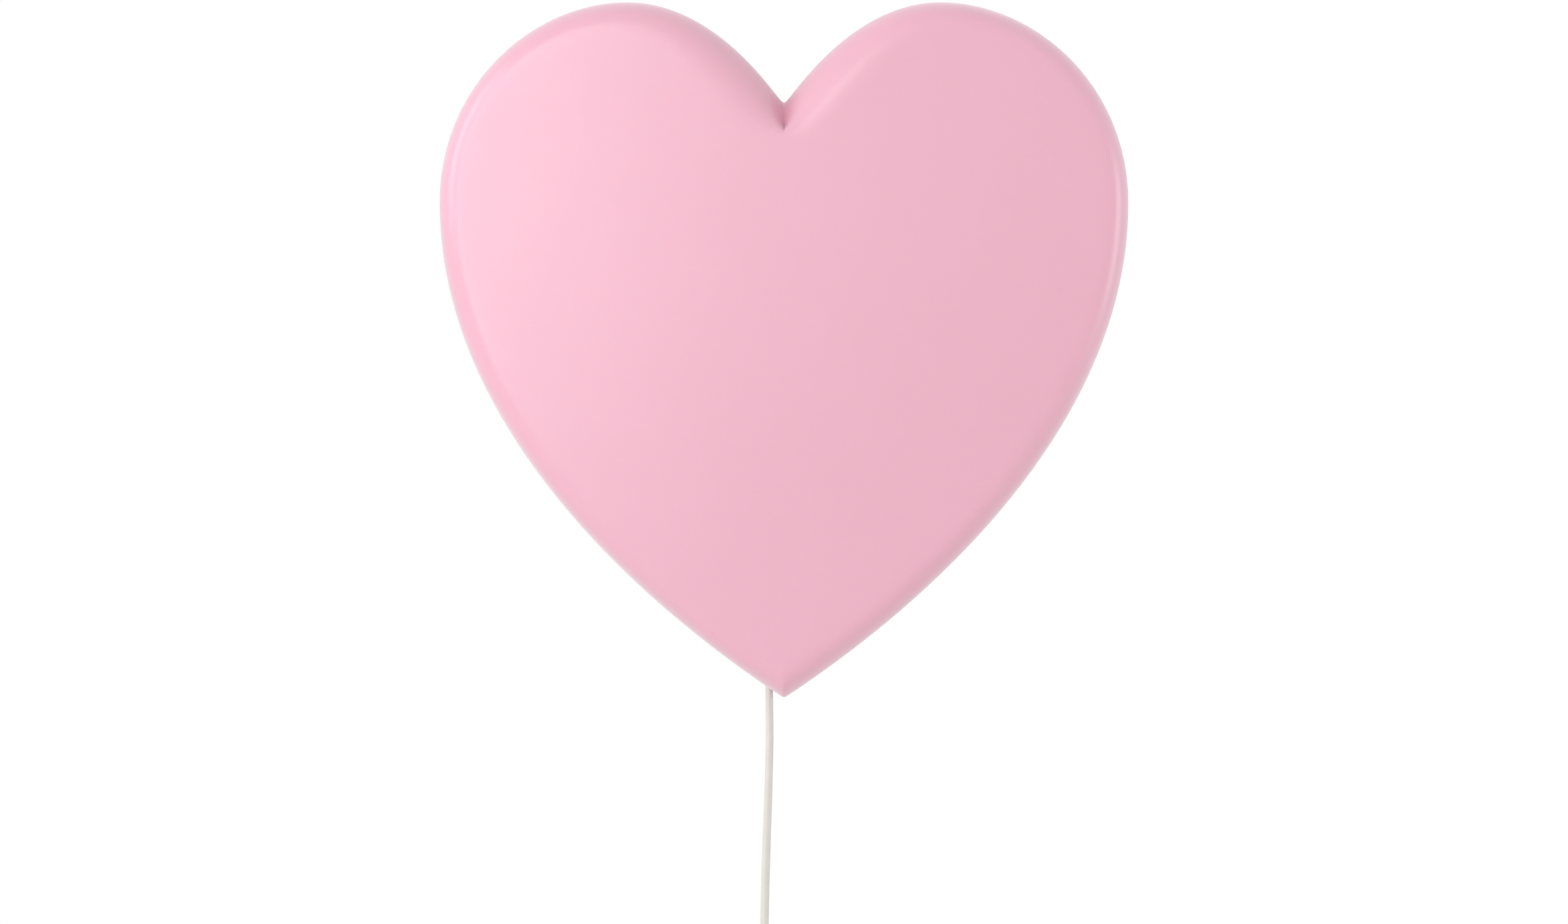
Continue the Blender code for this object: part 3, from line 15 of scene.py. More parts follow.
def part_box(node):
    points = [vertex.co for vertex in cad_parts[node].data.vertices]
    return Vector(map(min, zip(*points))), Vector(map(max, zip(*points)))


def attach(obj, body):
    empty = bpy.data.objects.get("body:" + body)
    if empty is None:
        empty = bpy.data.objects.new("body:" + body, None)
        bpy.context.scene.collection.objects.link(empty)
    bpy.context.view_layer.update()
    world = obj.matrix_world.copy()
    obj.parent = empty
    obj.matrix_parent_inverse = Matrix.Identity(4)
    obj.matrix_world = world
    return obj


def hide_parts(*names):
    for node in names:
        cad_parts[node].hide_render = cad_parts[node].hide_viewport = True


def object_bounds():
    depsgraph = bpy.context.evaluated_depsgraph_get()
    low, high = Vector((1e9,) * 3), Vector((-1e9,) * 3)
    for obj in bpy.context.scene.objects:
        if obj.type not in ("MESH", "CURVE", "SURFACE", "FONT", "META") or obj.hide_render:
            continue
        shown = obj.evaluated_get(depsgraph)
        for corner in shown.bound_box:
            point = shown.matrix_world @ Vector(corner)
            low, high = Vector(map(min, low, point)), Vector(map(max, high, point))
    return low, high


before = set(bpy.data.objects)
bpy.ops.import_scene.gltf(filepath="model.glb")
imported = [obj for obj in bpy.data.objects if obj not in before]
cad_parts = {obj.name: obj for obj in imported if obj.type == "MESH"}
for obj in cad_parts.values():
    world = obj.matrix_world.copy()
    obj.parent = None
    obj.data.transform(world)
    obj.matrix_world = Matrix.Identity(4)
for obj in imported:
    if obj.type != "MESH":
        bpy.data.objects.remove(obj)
CAD_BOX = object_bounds()

bl_info = {
    "name": "Heart wall lamp",
    "version": (1, 0, 0),
    "blender": (4, 5, 0),
    "location": "3D View > Sidebar > Wall lamp",
    "description": "Builds the looks of a heart-shaped wall lamp round its packed frame",
    "category": "Object",
}

RIM_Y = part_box("shade")[1].y
FIT = 0.0003
MOULDED_EDGE = 0.0003
SHEET_EDGE = 0.0002
TO_WALL = Vector((0.0, 1.0, 0.0))

# Heart outline, from the lobes' tops down and from the centre line out
TOP_Z = 0.103
LOBE_TOP_X = 0.0657
WIDEST_DROP = 0.0846
CLEFT_DROP = 0.0425
CLEFT_ANGLE = radians(37.5)
TIP_ANGLE = radians(33.5)
CLEFT_PULL = 0.0135
LOBE_INNER_PULL = 0.0340
LOBE_OUTER_PULL = 0.0395
SHOULDER_PULL = 0.0500
FLANK_PULL = 0.0840
TIP_PULL = 0.0920
SPAN_POINTS = 160

# Lead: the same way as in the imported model
LEAD_X = -0.0064
LEAD_IN = [(LEAD_X, y, z) for y, z in (
    (-0.0200, -0.0705), (-0.0200, -0.0830), (-0.0194, -0.0970), (-0.0172, -0.1120), (-0.0137, -0.1270),
    (-0.0100, -0.1425), (-0.0068, -0.1565), (-0.0049, -0.1665), (-0.0045, -0.1735), (-0.0045, -0.1840))]
DROP = [
    (-0.0064, -0.0045, -0.1843), (-0.0062, -0.0050, -0.1950), (-0.0061, -0.0061, -0.2080),
    (-0.0064, -0.0070, -0.2220), (-0.0069, -0.0079, -0.2380), (-0.0075, -0.0087, -0.2550),
    (-0.0080, -0.0094, -0.2720), (-0.0083, -0.0099, -0.2870), (-0.0084, -0.0100, -0.3010)]
BUSH_RADIUS = 0.0032
LEAD_BORE = 0.00205
WIRE_WIDTH = 0.0014
WIRE_SIDES = 12
SWITCH_MIDDLE = Vector((-0.0084, -0.0100, -0.3220))
SWITCH_LENGTH = 0.052
SWITCH_WIDTH = 0.024
SWITCH_SQUARENESS = 2.4
SWITCH_GRIP = 0.005
COIL_MIDDLE = Vector((0.0066, -0.0075, -0.3940))
COIL_PITCH = 0.0044
COIL_LAYERS = 4
TURNS_PER_LAYER = 3.25
COIL_MEAN_RADIUS = 0.0212
COIL_START = radians(142)
COIL_END_TURN = radians(38)
LOOP_POINTS = 48
LEAD_STRAIGHT = 0.0045
TIE_ANGLE = radians(60)
PLUG_TOP = -0.422
PLUG_GRIP = 0.007

# Stage: the camera looks straight at the face, and each light is named with its power's setting
WHITE = (1.0, 1.0, 1.0, 1.0)
CAMERA_PLACE = (0.0, -1.866, -0.0727)
CAMERA_LENS = 100.0
CAMERA_SHIFT = -63 / 2363
LIGHT_TARGET = Vector((0.0, -0.04, -0.06))
LIGHTS = (
    ("key_softbox", "key", (-0.96, -1.86, 0.44), (1.3, 1.6)),
    ("left_panel", "left", (-1.40, -0.40, 0.55), (1.0, 1.0)),
    ("right_panel", "right", (1.70, -0.10, 0.05), (1.1, 0.8)))


# Settings

class LampShadeSettings(bpy.types.PropertyGroup):
    width: FloatProperty(
        name="Width", description="Heart's width over the rim", default=0.290, unit="LENGTH")
    height: FloatProperty(
        name="Height", description="Heart's height from the lobes to the tip", default=0.293, unit="LENGTH")
    depth: FloatProperty(
        name="Depth", description="How far the middle of the face stands out from the wall",
        default=0.072, unit="LENGTH")
    wall: FloatProperty(name="Wall", description="Wall thickness", default=0.002, unit="LENGTH")
    draft: FloatProperty(name="Draft", description="How far the side leans in", default=0.001, unit="LENGTH")
    rim_gap: FloatProperty(
        name="Rim gap", description="Gap between the rim and the wall", default=-RIM_Y, unit="LENGTH")
    crown: FloatProperty(
        name="Crown", description="How far the face falls back at its edge", default=0.008, unit="LENGTH")
    edge_width: FloatProperty(
        name="Edge width", description="Width of the rolled edge", default=0.0115, unit="LENGTH")
    edge_depth: FloatProperty(
        name="Edge depth", description="Depth of the rolled edge", default=0.020, unit="LENGTH")
    cleft_width: FloatProperty(
        name="Cleft edge", description="Width of the rolled edge at the cleft", default=0.0235, unit="LENGTH")
    cleft_reach: FloatProperty(
        name="Cleft reach", description="How far from the cleft the edge stays wide",
        default=0.062, unit="LENGTH")
    cleft_blunt: FloatProperty(
        name="Cleft bluntness", description="Rounding at the bottom of the cleft",
        default=0.0008, unit="LENGTH")
    crease_drop: FloatProperty(
        name="Crease drop", description="How far the crease is drawn down below the cleft",
        default=0.005, unit="LENGTH")
    crease_width: FloatProperty(
        name="Crease width", description="Distance over which the crease's sides fall away",
        default=0.0025, unit="LENGTH")
    crease_length: FloatProperty(
        name="Crease length", description="How far below the cleft the crease ends",
        default=0.013, unit="LENGTH")
    crease_fill: FloatProperty(
        name="Crease fill", default=0.65, min=0,
        description="Rounding for each length by which a ring would pass the crease's end")
    tip_blunt: FloatProperty(
        name="Tip bluntness", description="Rounding of the tip", default=0.0006, unit="LENGTH")
    half_points: IntProperty(name="Points", description="Points on half of the outline", default=150, min=20)
    colour: FloatVectorProperty(
        name="Colour", description="Colour of the plastic", subtype="COLOR", default=(0.805, 0.412, 0.525))
    roughness: FloatProperty(
        name="Roughness", description="Roughness of the face", default=0.34, min=0, max=1)


class LampLeadSettings(bpy.types.PropertyGroup):
    width: FloatProperty(
        name="Width", description="Wide side of the oval lead", default=0.0036, unit="LENGTH")
    thickness: FloatProperty(
        name="Thickness", description="Narrow side of the oval lead", default=0.0032, unit="LENGTH")
    sides: IntProperty(name="Sides", description="Points round the lead", default=18, min=6)
    colour: FloatVectorProperty(
        name="Colour", description="Colour of the sheath", subtype="COLOR", default=(0.68, 0.665, 0.615))


class LampScrewSettings(bpy.types.PropertyGroup):
    head_height: FloatProperty(
        name="Head height", description="Height of a pan head", default=0.0018, unit="LENGTH")
    thread_pitch: FloatProperty(
        name="Pitch", description="Rise of the thread in a turn", default=0.0011, unit="LENGTH")
    seed: IntProperty(name="Seed", description="Start of the recesses' turns", default=4)


class LampStageSettings(bpy.types.PropertyGroup):
    floor_drop: FloatProperty(
        name="Floor", description="How far the floor lies below the plug", default=0.12, unit="LENGTH")
    floor_size: FloatProperty(name="Floor size", description="Side of the floor", default=24.0, unit="LENGTH")
    floor_near: FloatProperty(
        name="Fade from", description="Where the floor starts to turn white", default=0.9, unit="LENGTH")
    floor_far: FloatProperty(
        name="Fade to", description="Where the floor is as white as the background",
        default=2.4, unit="LENGTH")
    ambient: FloatProperty(name="Ambient", description="Light from all round", default=0.675, min=0)
    key: FloatProperty(
        name="Key", description="Power of the softbox on the upper left, in watts", default=15.2, min=0)
    left: FloatProperty(
        name="Left", description="Power of the panel on the left, in watts", default=7.0, min=0)
    right: FloatProperty(
        name="Right", description="Power of the panel on the right, in watts", default=5.0, min=0)


# Node trees

def add(tree, kind, inputs=None, **settings):
    """Adds a node, with its settings, and its inputs linked or set."""
    node = tree.nodes.new(kind)
    for name, value in settings.items():
        setattr(node, name, value)
    for key, value in (inputs or {}).items():
        for entry in value if isinstance(value, list) else [value]:
            if isinstance(entry, bpy.types.NodeSocket):
                tree.links.new(entry, node.inputs[key])
            else:
                node.inputs[key].default_value = entry
    return node


def output(tree, kind, inputs=None, **settings):
    """The first output of a node that is added."""
    return add(tree, kind, inputs, **settings).outputs[0]


def maths(tree, operation, first, second):
    return output(tree, "ShaderNodeMath", {0: first, 1: second}, operation=operation)


def times(tree, first, second):
    return maths(tree, "MULTIPLY", first, second)


def minus(tree, first, second):
    return maths(tree, "SUBTRACT", first, second)


def blended(tree, factor, first, second):
    """Two colours mixed by a factor."""
    return add(tree, "ShaderNodeMix", {0: factor, 6: first, 7: second}, data_type="RGBA").outputs[2]


def ranged(tree, value, low, high, start=0.0, end=1.0):
    return output(tree, "ShaderNodeMapRange", {
        "Value": value, "From Min": start, "From Max": end, "To Min": low, "To Max": high})


def noise(tree, where, scale, detail=3.0):
    return output(tree, "ShaderNodeTexNoise", {"Vector": where, "Scale": scale, "Detail": detail})


def seen_directly(tree):
    """One for what the camera sees, also in a mirror or through glass, and none for other light."""
    path = add(tree, "ShaderNodeLightPath").outputs
    seen = path["Is Camera Ray"]
    for other in ("Is Glossy Ray", "Is Transmission Ray"):
        seen = maths(tree, "MAXIMUM", seen, path[other])
    return seen


# Finishes

def shaded(colour, share):
    return (*[min(1.0, channel * share) for channel in colour], 1.0)


def surface(name, colour, rough, metal=0.0, cloud=(24.0, 0.05), gloss=0.06, grain=(2400.0, 0.000012),
            pattern=None, second=None, **sockets):
    """A clouded colour, an uneven gloss and a fine grain, with a second colour where a pattern is."""
    made = bpy.data.materials.new(name)
    made.use_nodes = True
    tree = made.node_tree
    shader = tree.nodes["Principled BSDF"].inputs
    where = add(tree, "ShaderNodeTexCoord").outputs["Object"]
    scale, depth = cloud
    patches = ranged(tree, noise(tree, where, scale), 0.0, 1.0, 0.3, 0.7)
    tint = blended(tree, patches, shaded(colour, 1 - depth), shaded(colour, 1 + depth))
    height = noise(tree, where, grain[0], 4.0)
    if pattern:
        drawn = pattern(tree, where)
        tint = blended(tree, drawn, tint, (*second, 1.0))
        height = maths(tree, "ADD", height, drawn)
    rubbed = noise(tree, where, scale * 3.0, 5.0)
    bump = output(tree, "ShaderNodeBump", {"Strength": 0.6, "Distance": grain[1], "Height": height})
    tree.links.new(tint, shader["Base Color"])
    tree.links.new(ranged(tree, rubbed, rough - gloss, rough + gloss, 0.25, 0.75), shader["Roughness"])
    tree.links.new(bump, shader["Normal"])
    shader["Metallic"].default_value = metal
    for socket, value in sockets.items():
        shader[socket.replace("_", " ")].default_value = value
    return made


def tracks(scale, width, run):
    """Printed tracks of a circuit board, in rows, each a run long for its height."""
    def drawn(tree, where):
        flat = output(tree, "ShaderNodeMapping", {"Vector": where, "Rotation": (pi / 2, 0.0, 0.0)})
        rows = add(tree, "ShaderNodeTexBrick", {
            "Vector": flat, "Scale": scale, "Mortar Size": width, "Brick Width": run, "Row Height": 0.32},
            offset=0.37, squash=1.6, squash_frequency=3)
        return rows.outputs["Fac"]
    return drawn


def spangle(scale):
    """Crystals of a zinc coat."""
    def drawn(tree, where):
        cells = add(tree, "ShaderNodeTexVoronoi", {"Vector": where, "Scale": scale})
        grey = output(tree, "ShaderNodeRGBToBW", {"Color": cells.outputs["Color"]})
        return ranged(tree, grey, 0.0, 0.6)
    return drawn


def drawn_lines(scale, along):
    """Fine lines that drawing or brushing leaves along a metal."""
    def drawn(tree, where):
        stretched = output(tree, "ShaderNodeMapping", {"Vector": where, "Scale": (1.0, 1.0, along)})
        return ranged(tree, noise(tree, stretched, scale, 2.0), 0.0, 0.5, 0.35, 0.75)
    return drawn


def winding_tape(tree, where):
    """Edges of the tape wound round a bobbin."""
    bands = add(tree, "ShaderNodeTexWave", {"Vector": where, "Scale": 160.0, "Distortion": 0.4},
                bands_direction="Y").outputs["Fac"]
    return ranged(tree, bands, 0.0, 0.6, 0.80, 0.95)


# Name, colour, roughness and the rest of each slot's surface, with None for what a setting gives
LOOKS = {
    "pink_shade": ("satin_pink", None, None, dict(
        cloud=(9.0, 0.012), gloss=0.025, grain=(5200.0, 0.000010), Specular_IOR_Level=1.0,
        Sheen_Weight=0.35, Sheen_Roughness=0.4,
        Subsurface_Weight=0.2, Subsurface_Radius=(1.0, 0.32, 0.40), Subsurface_Scale=0.005)),
    "white_plastic": ("white_moulding", (0.80, 0.79, 0.76), 0.46, dict(
        cloud=(30.0, 0.02), grain=(3200.0, 0.00002))),
    "ivory_plastic": ("ivory_moulding", (0.79, 0.765, 0.70), 0.40, dict(
        cloud=(60.0, 0.02), grain=(4200.0, 0.000012))),
    "ivory_cord": ("ivory_sheath", None, 0.42, dict(cloud=(110.0, 0.025), grain=(3000.0, 0.00002))),
    "ivory_rubber": ("ivory_rubber_skin", (0.72, 0.69, 0.62), 0.62, dict(
        cloud=(90.0, 0.04), grain=(1800.0, 0.00004))),
    "black_plastic": ("black_sleeve", (0.028, 0.028, 0.03), 0.38, dict(cloud=(80.0, 0.15))),
    "brown_wire": ("brown_insulation", (0.16, 0.065, 0.03), 0.40, dict(cloud=(200.0, 0.08))),
    "blue_wire": ("blue_insulation", (0.03, 0.12, 0.42), 0.40, dict(cloud=(200.0, 0.08))),
    "red_wire": ("red_insulation", (0.50, 0.025, 0.02), 0.40, dict(cloud=(200.0, 0.08))),
    "zinc_steel": ("zinc_plate", (0.60, 0.61, 0.63), 0.34, dict(
        metal=1.0, gloss=0.09, grain=(5000.0, 0.000004), pattern=spangle(420.0), second=(0.70, 0.71, 0.73))),
    "nickel": ("nickel_plate", (0.72, 0.70, 0.66), 0.22, dict(
        metal=1.0, grain=(4000.0, 0.000003), pattern=drawn_lines(2500.0, 0.04), second=(0.60, 0.585, 0.55))),
    "brass": ("brass_strip", (0.78, 0.58, 0.26), 0.27, dict(
        metal=1.0, gloss=0.08, grain=(4000.0, 0.000003), pattern=drawn_lines(2200.0, 0.05),
        second=(0.62, 0.43, 0.17))),
    "ferrite": ("ferrite_core", (0.060, 0.060, 0.066), 0.62, dict(
        cloud=(300.0, 0.25), grain=(1800.0, 0.00005))),
    "tape": ("bobbin_tape", (0.64, 0.44, 0.06), 0.40, dict(
        cloud=(300.0, 0.06), grain=(1800.0, 0.00003), pattern=winding_tape, second=(0.36, 0.22, 0.03))),
    "white_board": ("white_mask", (0.80, 0.80, 0.78), 0.33, dict(
        grain=(2600.0, 0.000015), pattern=tracks(34.0, 0.012, 20.0), second=(0.74, 0.74, 0.72))),
    "green_board": ("green_mask", (0.025, 0.16, 0.06), 0.36, dict(
        grain=(2600.0, 0.000015), pattern=tracks(110.0, 0.05, 2.6), second=(0.06, 0.27, 0.10))),
    "led_phosphor": ("phosphor", (0.82, 0.64, 0.14), 0.35, dict(
        cloud=(900.0, 0.10), grain=(9000.0, 0.00001))),
}
FINISHES = {}


def finish(slot):
    """The material for one of the record's slots, made when it is first asked for."""
    if slot not in FINISHES:
        name, colour, rough, more = LOOKS[slot]
        if slot == "pink_shade":
            shade = bpy.context.scene.lamp_shade
            colour, rough = tuple(shade.colour), shade.roughness
        elif slot == "ivory_cord":
            colour = tuple(bpy.context.scene.lamp_lead.colour)
        FINISHES[slot] = surface(name, colour, rough, **more)
    return FINISHES[slot]


# Mesh tools

def smoothed(mesh, angle):
    mesh.shade_smooth()
    mesh.set_sharp_from_angle(angle=radians(angle))


def piece(name, work, *slots, angle=35):
    """A finished mesh object at the origin, smooth but for edges sharper than an angle."""
    bmesh.ops.recalc_face_normals(work, faces=work.faces)
    mesh = bpy.data.meshes.new(name)
    work.to_mesh(mesh)
    work.free()
    made = bpy.data.objects.new(name, mesh)
    bpy.context.scene.collection.objects.link(made)
    for slot in slots:
        mesh.materials.append(finish(slot))
    smoothed(mesh, angle)
    return made


def worked_in(made, angle=35):
    """Puts an object's modifiers into its mesh."""
    bpy.context.view_layer.update()
    graph = bpy.context.evaluated_depsgraph_get()
    mesh = bpy.data.meshes.new_from_object(made.evaluated_get(graph))
    made.modifiers.clear()
    old = made.data
    made.data = mesh
    bpy.data.meshes.remove(old)
    smoothed(mesh, angle)
    return made


def reopened(made):
    """An object's mesh, open for more work, in place of the object."""
    work = bmesh.new()
    work.from_mesh(made.data)
    bpy.data.objects.remove(made)
    return work


def carved(made, cutters):
    """Cuts other objects out of one, and removes them."""
    for tool in cutters:
        step = made.modifiers.new("cut_" + tool.name, "BOOLEAN")
        step.operation = "DIFFERENCE"
        step.solver = "EXACT"
        step.object = tool
    worked_in(made)
    for tool in cutters:
        bpy.data.objects.remove(tool)
    if not made.data.polygons:
        raise RuntimeError(made.name + " was cut away")
    return made


def rounded(made, width, segments=2):
    bevel = made.modifiers.new("rounded_edges", "BEVEL")
    bevel.width = width
    bevel.segments = segments
    bevel.limit_method = "ANGLE"
    bevel.angle_limit = radians(40)
    return worked_in(made)


def merged(node):
    """A CAD node's own shape with its facets merged."""
    work = bmesh.new()
    work.from_mesh(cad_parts[node].data)
    bmesh.ops.remove_doubles(work, verts=work.verts, dist=0.000002)
    bmesh.ops.dissolve_limit(work, angle_limit=radians(2), verts=work.verts, edges=work.edges)
    for face in work.faces:
        face.material_index = 0
    return work


def settle(made, slot, *nodes, body="lamp"):
    """Puts a piece on its body, in place of the CAD nodes that it stands for."""
    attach(made, body)
    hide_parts(*nodes)
    return made


def softened(name, node, width, *slots):
    """A CAD node's own shape with its edges rounded, in that node's place."""
    return settle(rounded(piece(name, merged(node), *slots), width), slots[0], node)


def bridge(work, rings):
    """Faces between rings of corners, where a ring of one corner is a point."""
    for near, far in zip(rings, rings[1:]):
        count = max(len(near), len(far))
        for i in range(count):
            j = (i + 1) % count
            corners = (near[i % len(near)], near[j % len(near)], far[j % len(far)], far[i % len(far)])
            work.faces.new(list(dict.fromkeys(corners)))


def lofted(work, rings, capped=True):
    loops = [[work.verts.new(point) for point in ring] for ring in rings]
    bridge(work, loops)
    if capped:
        work.faces.new(loops[0])
        work.faces.new(loops[-1])
    return loops


def shell(work, outer, inner):
    """A wall between outer and inner rings, joined at the first of each and open at the last."""
    outside = lofted(work, outer, capped=False)
    inside = lofted(work, inner, capped=False)
    bridge(work, [outside[0], inside[0]])
    return outside[-1], inside[-1]


def round_turns(count):
    return [2 * pi * k / count for k in range(count)]


def quarter_turns(count):
    return [pi / 2 * k / count for k in range(count + 1)]


def spun(work, profile, place, steps):
    """A profile of (radius, height) turned about its own Z, closed if it ends where it starts."""
    closed = profile[0] == profile[-1]
    rings = []
    for radius, height in profile[:-1] if closed else profile:
        turns = round_turns(steps) if radius else [0.0]
        ring = [Vector((radius * cos(t), radius * sin(t), height)) for t in turns]
        rings.append([work.verts.new(place @ point) for point in ring])
    bridge(work, rings + rings[:1] if closed else rings)


def squared(half_width, half_height, powers, count):
    """Points (across, up) round an ellipse, the squarer the lower its powers across and up are."""
    def bent(part, power):
        return abs(part) ** power * (1 if part > 0 else -1)
    return [(half_width * bent(cos(t), powers[0]), half_height * bent(sin(t), powers[1]))
            for t in round_turns(count)]


def block(name, low, high):
    work = bmesh.new()
    low, high = Vector(low), Vector(high)
    bmesh.ops.create_cube(
        work, size=1.0, matrix=Matrix.Translation((low + high) / 2) @ Matrix.Diagonal((*(high - low), 1.0)))
    return piece(name, work)


def rod(name, start, end, radius, steps=32):
    work = bmesh.new()
    run = Vector(end) - Vector(start)
    place = Matrix.Translation(start) @ Vector((0, 0, 1)).rotation_difference(run).to_matrix().to_4x4()
    spun(work, [(0.0, 0.0), (radius, 0.0), (radius, run.length), (0.0, run.length)], place, steps)
    return piece(name, work)


def smooth_route(route, step):
    """Points about a step apart on a smooth curve through the route's own points."""
    points = [Vector(point) for point in route]
    ends = [2 * points[0] - points[1]] + points + [2 * points[-1] - points[-2]]
    fine = []
    for a, b, c, d in zip(ends, ends[1:], ends[2:], ends[3:]):
        count = max(1, round((c - b).length / step))
        fine += interpolate_bezier(b, b + (c - a) / 6, c - (d - b) / 6, c, count + 1)[:-1]
    return fine + [points[-1]]


def tube(name, points, width, thickness, slot, sides, twist=None):
    """An oval tube along points, its wide side across the wall's own normal unless it is twisted."""
    work = bmesh.new()
    last = len(points) - 1
    rings = []
    for i, point in enumerate(points):
        along = (points[min(i + 1, last)] - points[max(i - 1, 0)]).normalized()
        side = along.cross(TO_WALL).normalized()
        over = side.cross(along)
        turn = twist(i / last) if twist else 0.0
        wide = (side * cos(turn) + over * sin(turn)) * width / 2
        thick = (over * cos(turn) - side * sin(turn)) * thickness / 2
        rings.append([point + wide * cos(t) + thick * sin(t) for t in round_turns(sides)])
    lofted(work, rings)
    return piece(name, work, slot, angle=50)


def make_wire(name, node, slot, route):
    """A thin round wire along a route, in a CAD node's place."""
    wire = tube(name, smooth_route(route, 0.0006), WIRE_WIDTH, WIRE_WIDTH, slot, WIRE_SIDES)
    settle(wire, slot, node)


def middle_of(node):
    low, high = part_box(node)
    return (low + high) / 2


# Geometry trees, for what repeats

SOCKETS = {int: "NodeSocketInt", float: "NodeSocketFloat", tuple: "NodeSocketVector"}


def geometry_tree(name, inputs):
    """An empty geometry tree with seats and other inputs: the tree, its inputs and its end."""
    tree = bpy.data.node_groups.new(name, "GeometryNodeTree")
    tree.interface.new_socket("Seats", in_out="INPUT", socket_type="NodeSocketGeometry")
    for label, default in inputs.items():
        socket = tree.interface.new_socket(label, in_out="INPUT", socket_type=SOCKETS[type(default)])
        socket.default_value = default
    tree.interface.new_socket("Geometry", in_out="OUTPUT", socket_type="NodeSocketGeometry")
    return tree, tree.nodes.new("NodeGroupInput").outputs, tree.nodes.new("NodeGroupOutput").inputs[0]


def grown(name, tree, seats, values):
    """A mesh that a geometry tree makes on seats, with its inputs set by name."""
    mesh = bpy.data.meshes.new(name)
    mesh.from_pydata([tuple(seat) for seat in seats], [], [])
    made = bpy.data.objects.new(name, mesh)
    bpy.context.scene.collection.objects.link(made)
    step = made.modifiers.new(name, "NODES")
    step.node_group = tree
    for item in tree.interface.items_tree:
        if item.in_out == "INPUT" and item.name in values:
            step[item.identifier] = values[item.name]
    worked_in(made, 30)
    if not made.data.polygons:
        raise RuntimeError(name + " came out empty")
    return made


def shape(tree, kind, inputs=None, **settings):
    """The first output of a geometry node that is added."""
    return output(tree, "GeometryNode" + kind, inputs, **settings)


def vector(tree, **parts):
    return output(tree, "ShaderNodeCombineXYZ", parts)


def drum(tree, vertices, radius, depth):
    return shape(tree, "MeshCylinder", {"Vertices": vertices, "Radius": radius, "Depth": depth})


def ball(tree, segments, rings, radius):
    return shape(tree, "MeshUVSphere", {"Segments": segments, "Rings": rings, "Radius": radius})


def hoop(tree, points, radius):
    return shape(tree, "CurvePrimitiveCircle", {"Resolution": points, "Radius": radius})


def raised(tree, mesh, height):
    """A mesh moved up its own Z."""
    return shape(tree, "Transform", {"Geometry": mesh, "Translation": vector(tree, Z=height)})


def hollowed(tree, mesh, cutters):
    return shape(tree, "MeshBoolean", {0: mesh, 1: cutters}, operation="DIFFERENCE", solver="EXACT")


def seated(tree, seats, mesh, **more):
    return shape(tree, "InstanceOnPoints", {"Points": seats, "Instance": mesh, **more})


def painted(tree, mesh, slot):
    return shape(tree, "SetMaterial", {"Geometry": mesh, "Material": finish(slot)})


def screw_tree(seed):
    """Screws with a domed head, a cross recess, a thread and a point, each turned by chance."""
    tree, value, end = geometry_tree("pan_head_screws", {
        "Head radius": 0.0027, "Head height": 0.0018, "Shank radius": 0.0014, "Length": 0.010,
        "Pitch": 0.0011, "Turn": (0.0, 0.0, 0.0)})
    radius, height, shank = value["Head radius"], value["Head height"], value["Shank radius"]
    disc = raised(tree, drum(tree, 48, radius, height), times(tree, height, 0.5))
    dome_radius = times(tree, radius, 1.6)
    dome = raised(tree, ball(tree, 48, 40, dome_radius), minus(tree, height, dome_radius))
    head = shape(tree, "MeshBoolean", {1: [disc, dome]}, operation="INTERSECT", solver="EXACT")
    arms = []
    for along, across in ((1.15, 0.27), (0.27, 1.15)):
        size = vector(tree, X=times(tree, radius, along), Y=times(tree, radius, across),
                      Z=times(tree, height, 1.3))
        arms.append(raised(tree, shape(tree, "MeshCube", {"Size": size}), height))
    head = hollowed(tree, head, arms)
    core = times(tree, shank, 0.82)
    straight = minus(tree, value["Length"], shank)
    body = raised(tree, drum(tree, 20, core, straight), times(tree, straight, -0.5))
    tip = shape(tree, "MeshCone", {
        "Vertices": 20, "Radius Top": core, "Radius Bottom": 0.0001, "Depth": shank})
    tip = raised(tree, tip, times(tree, value["Length"], -1.0))
    turns = maths(tree, "DIVIDE", straight, value["Pitch"])
    helix = shape(tree, "CurveSpiral", {
        "Resolution": 18, "Rotations": turns, "Start Radius": core, "End Radius": core, "Height": straight})
    ridge = hoop(tree, 3, times(tree, shank, 0.18))
    thread = shape(tree, "CurveToMesh", {"Curve": helix, "Profile Curve": ridge, "Fill Caps": True})
    thread = raised(tree, thread, times(tree, straight, -1.0))
    whole = shape(tree, "JoinGeometry", {0: [head, body, tip, thread]})
    facing = output(tree, "FunctionNodeEulerToRotation", {0: value["Turn"]})
    screws = seated(tree, value["Seats"], whole, Rotation=facing)
    spin = output(tree, "FunctionNodeRandomValue", {"Max": (0.0, 0.0, pi), "Seed": seed},
                  data_type="FLOAT_VECTOR")
    wound = output(tree, "FunctionNodeEulerToRotation", {0: spin})
    screws = shape(tree, "RotateInstances", {"Instances": screws, "Rotation": wound})
    real = shape(tree, "RealizeInstances", {0: screws})
    tree.links.new(painted(tree, real, "zinc_steel"), end)
    return tree


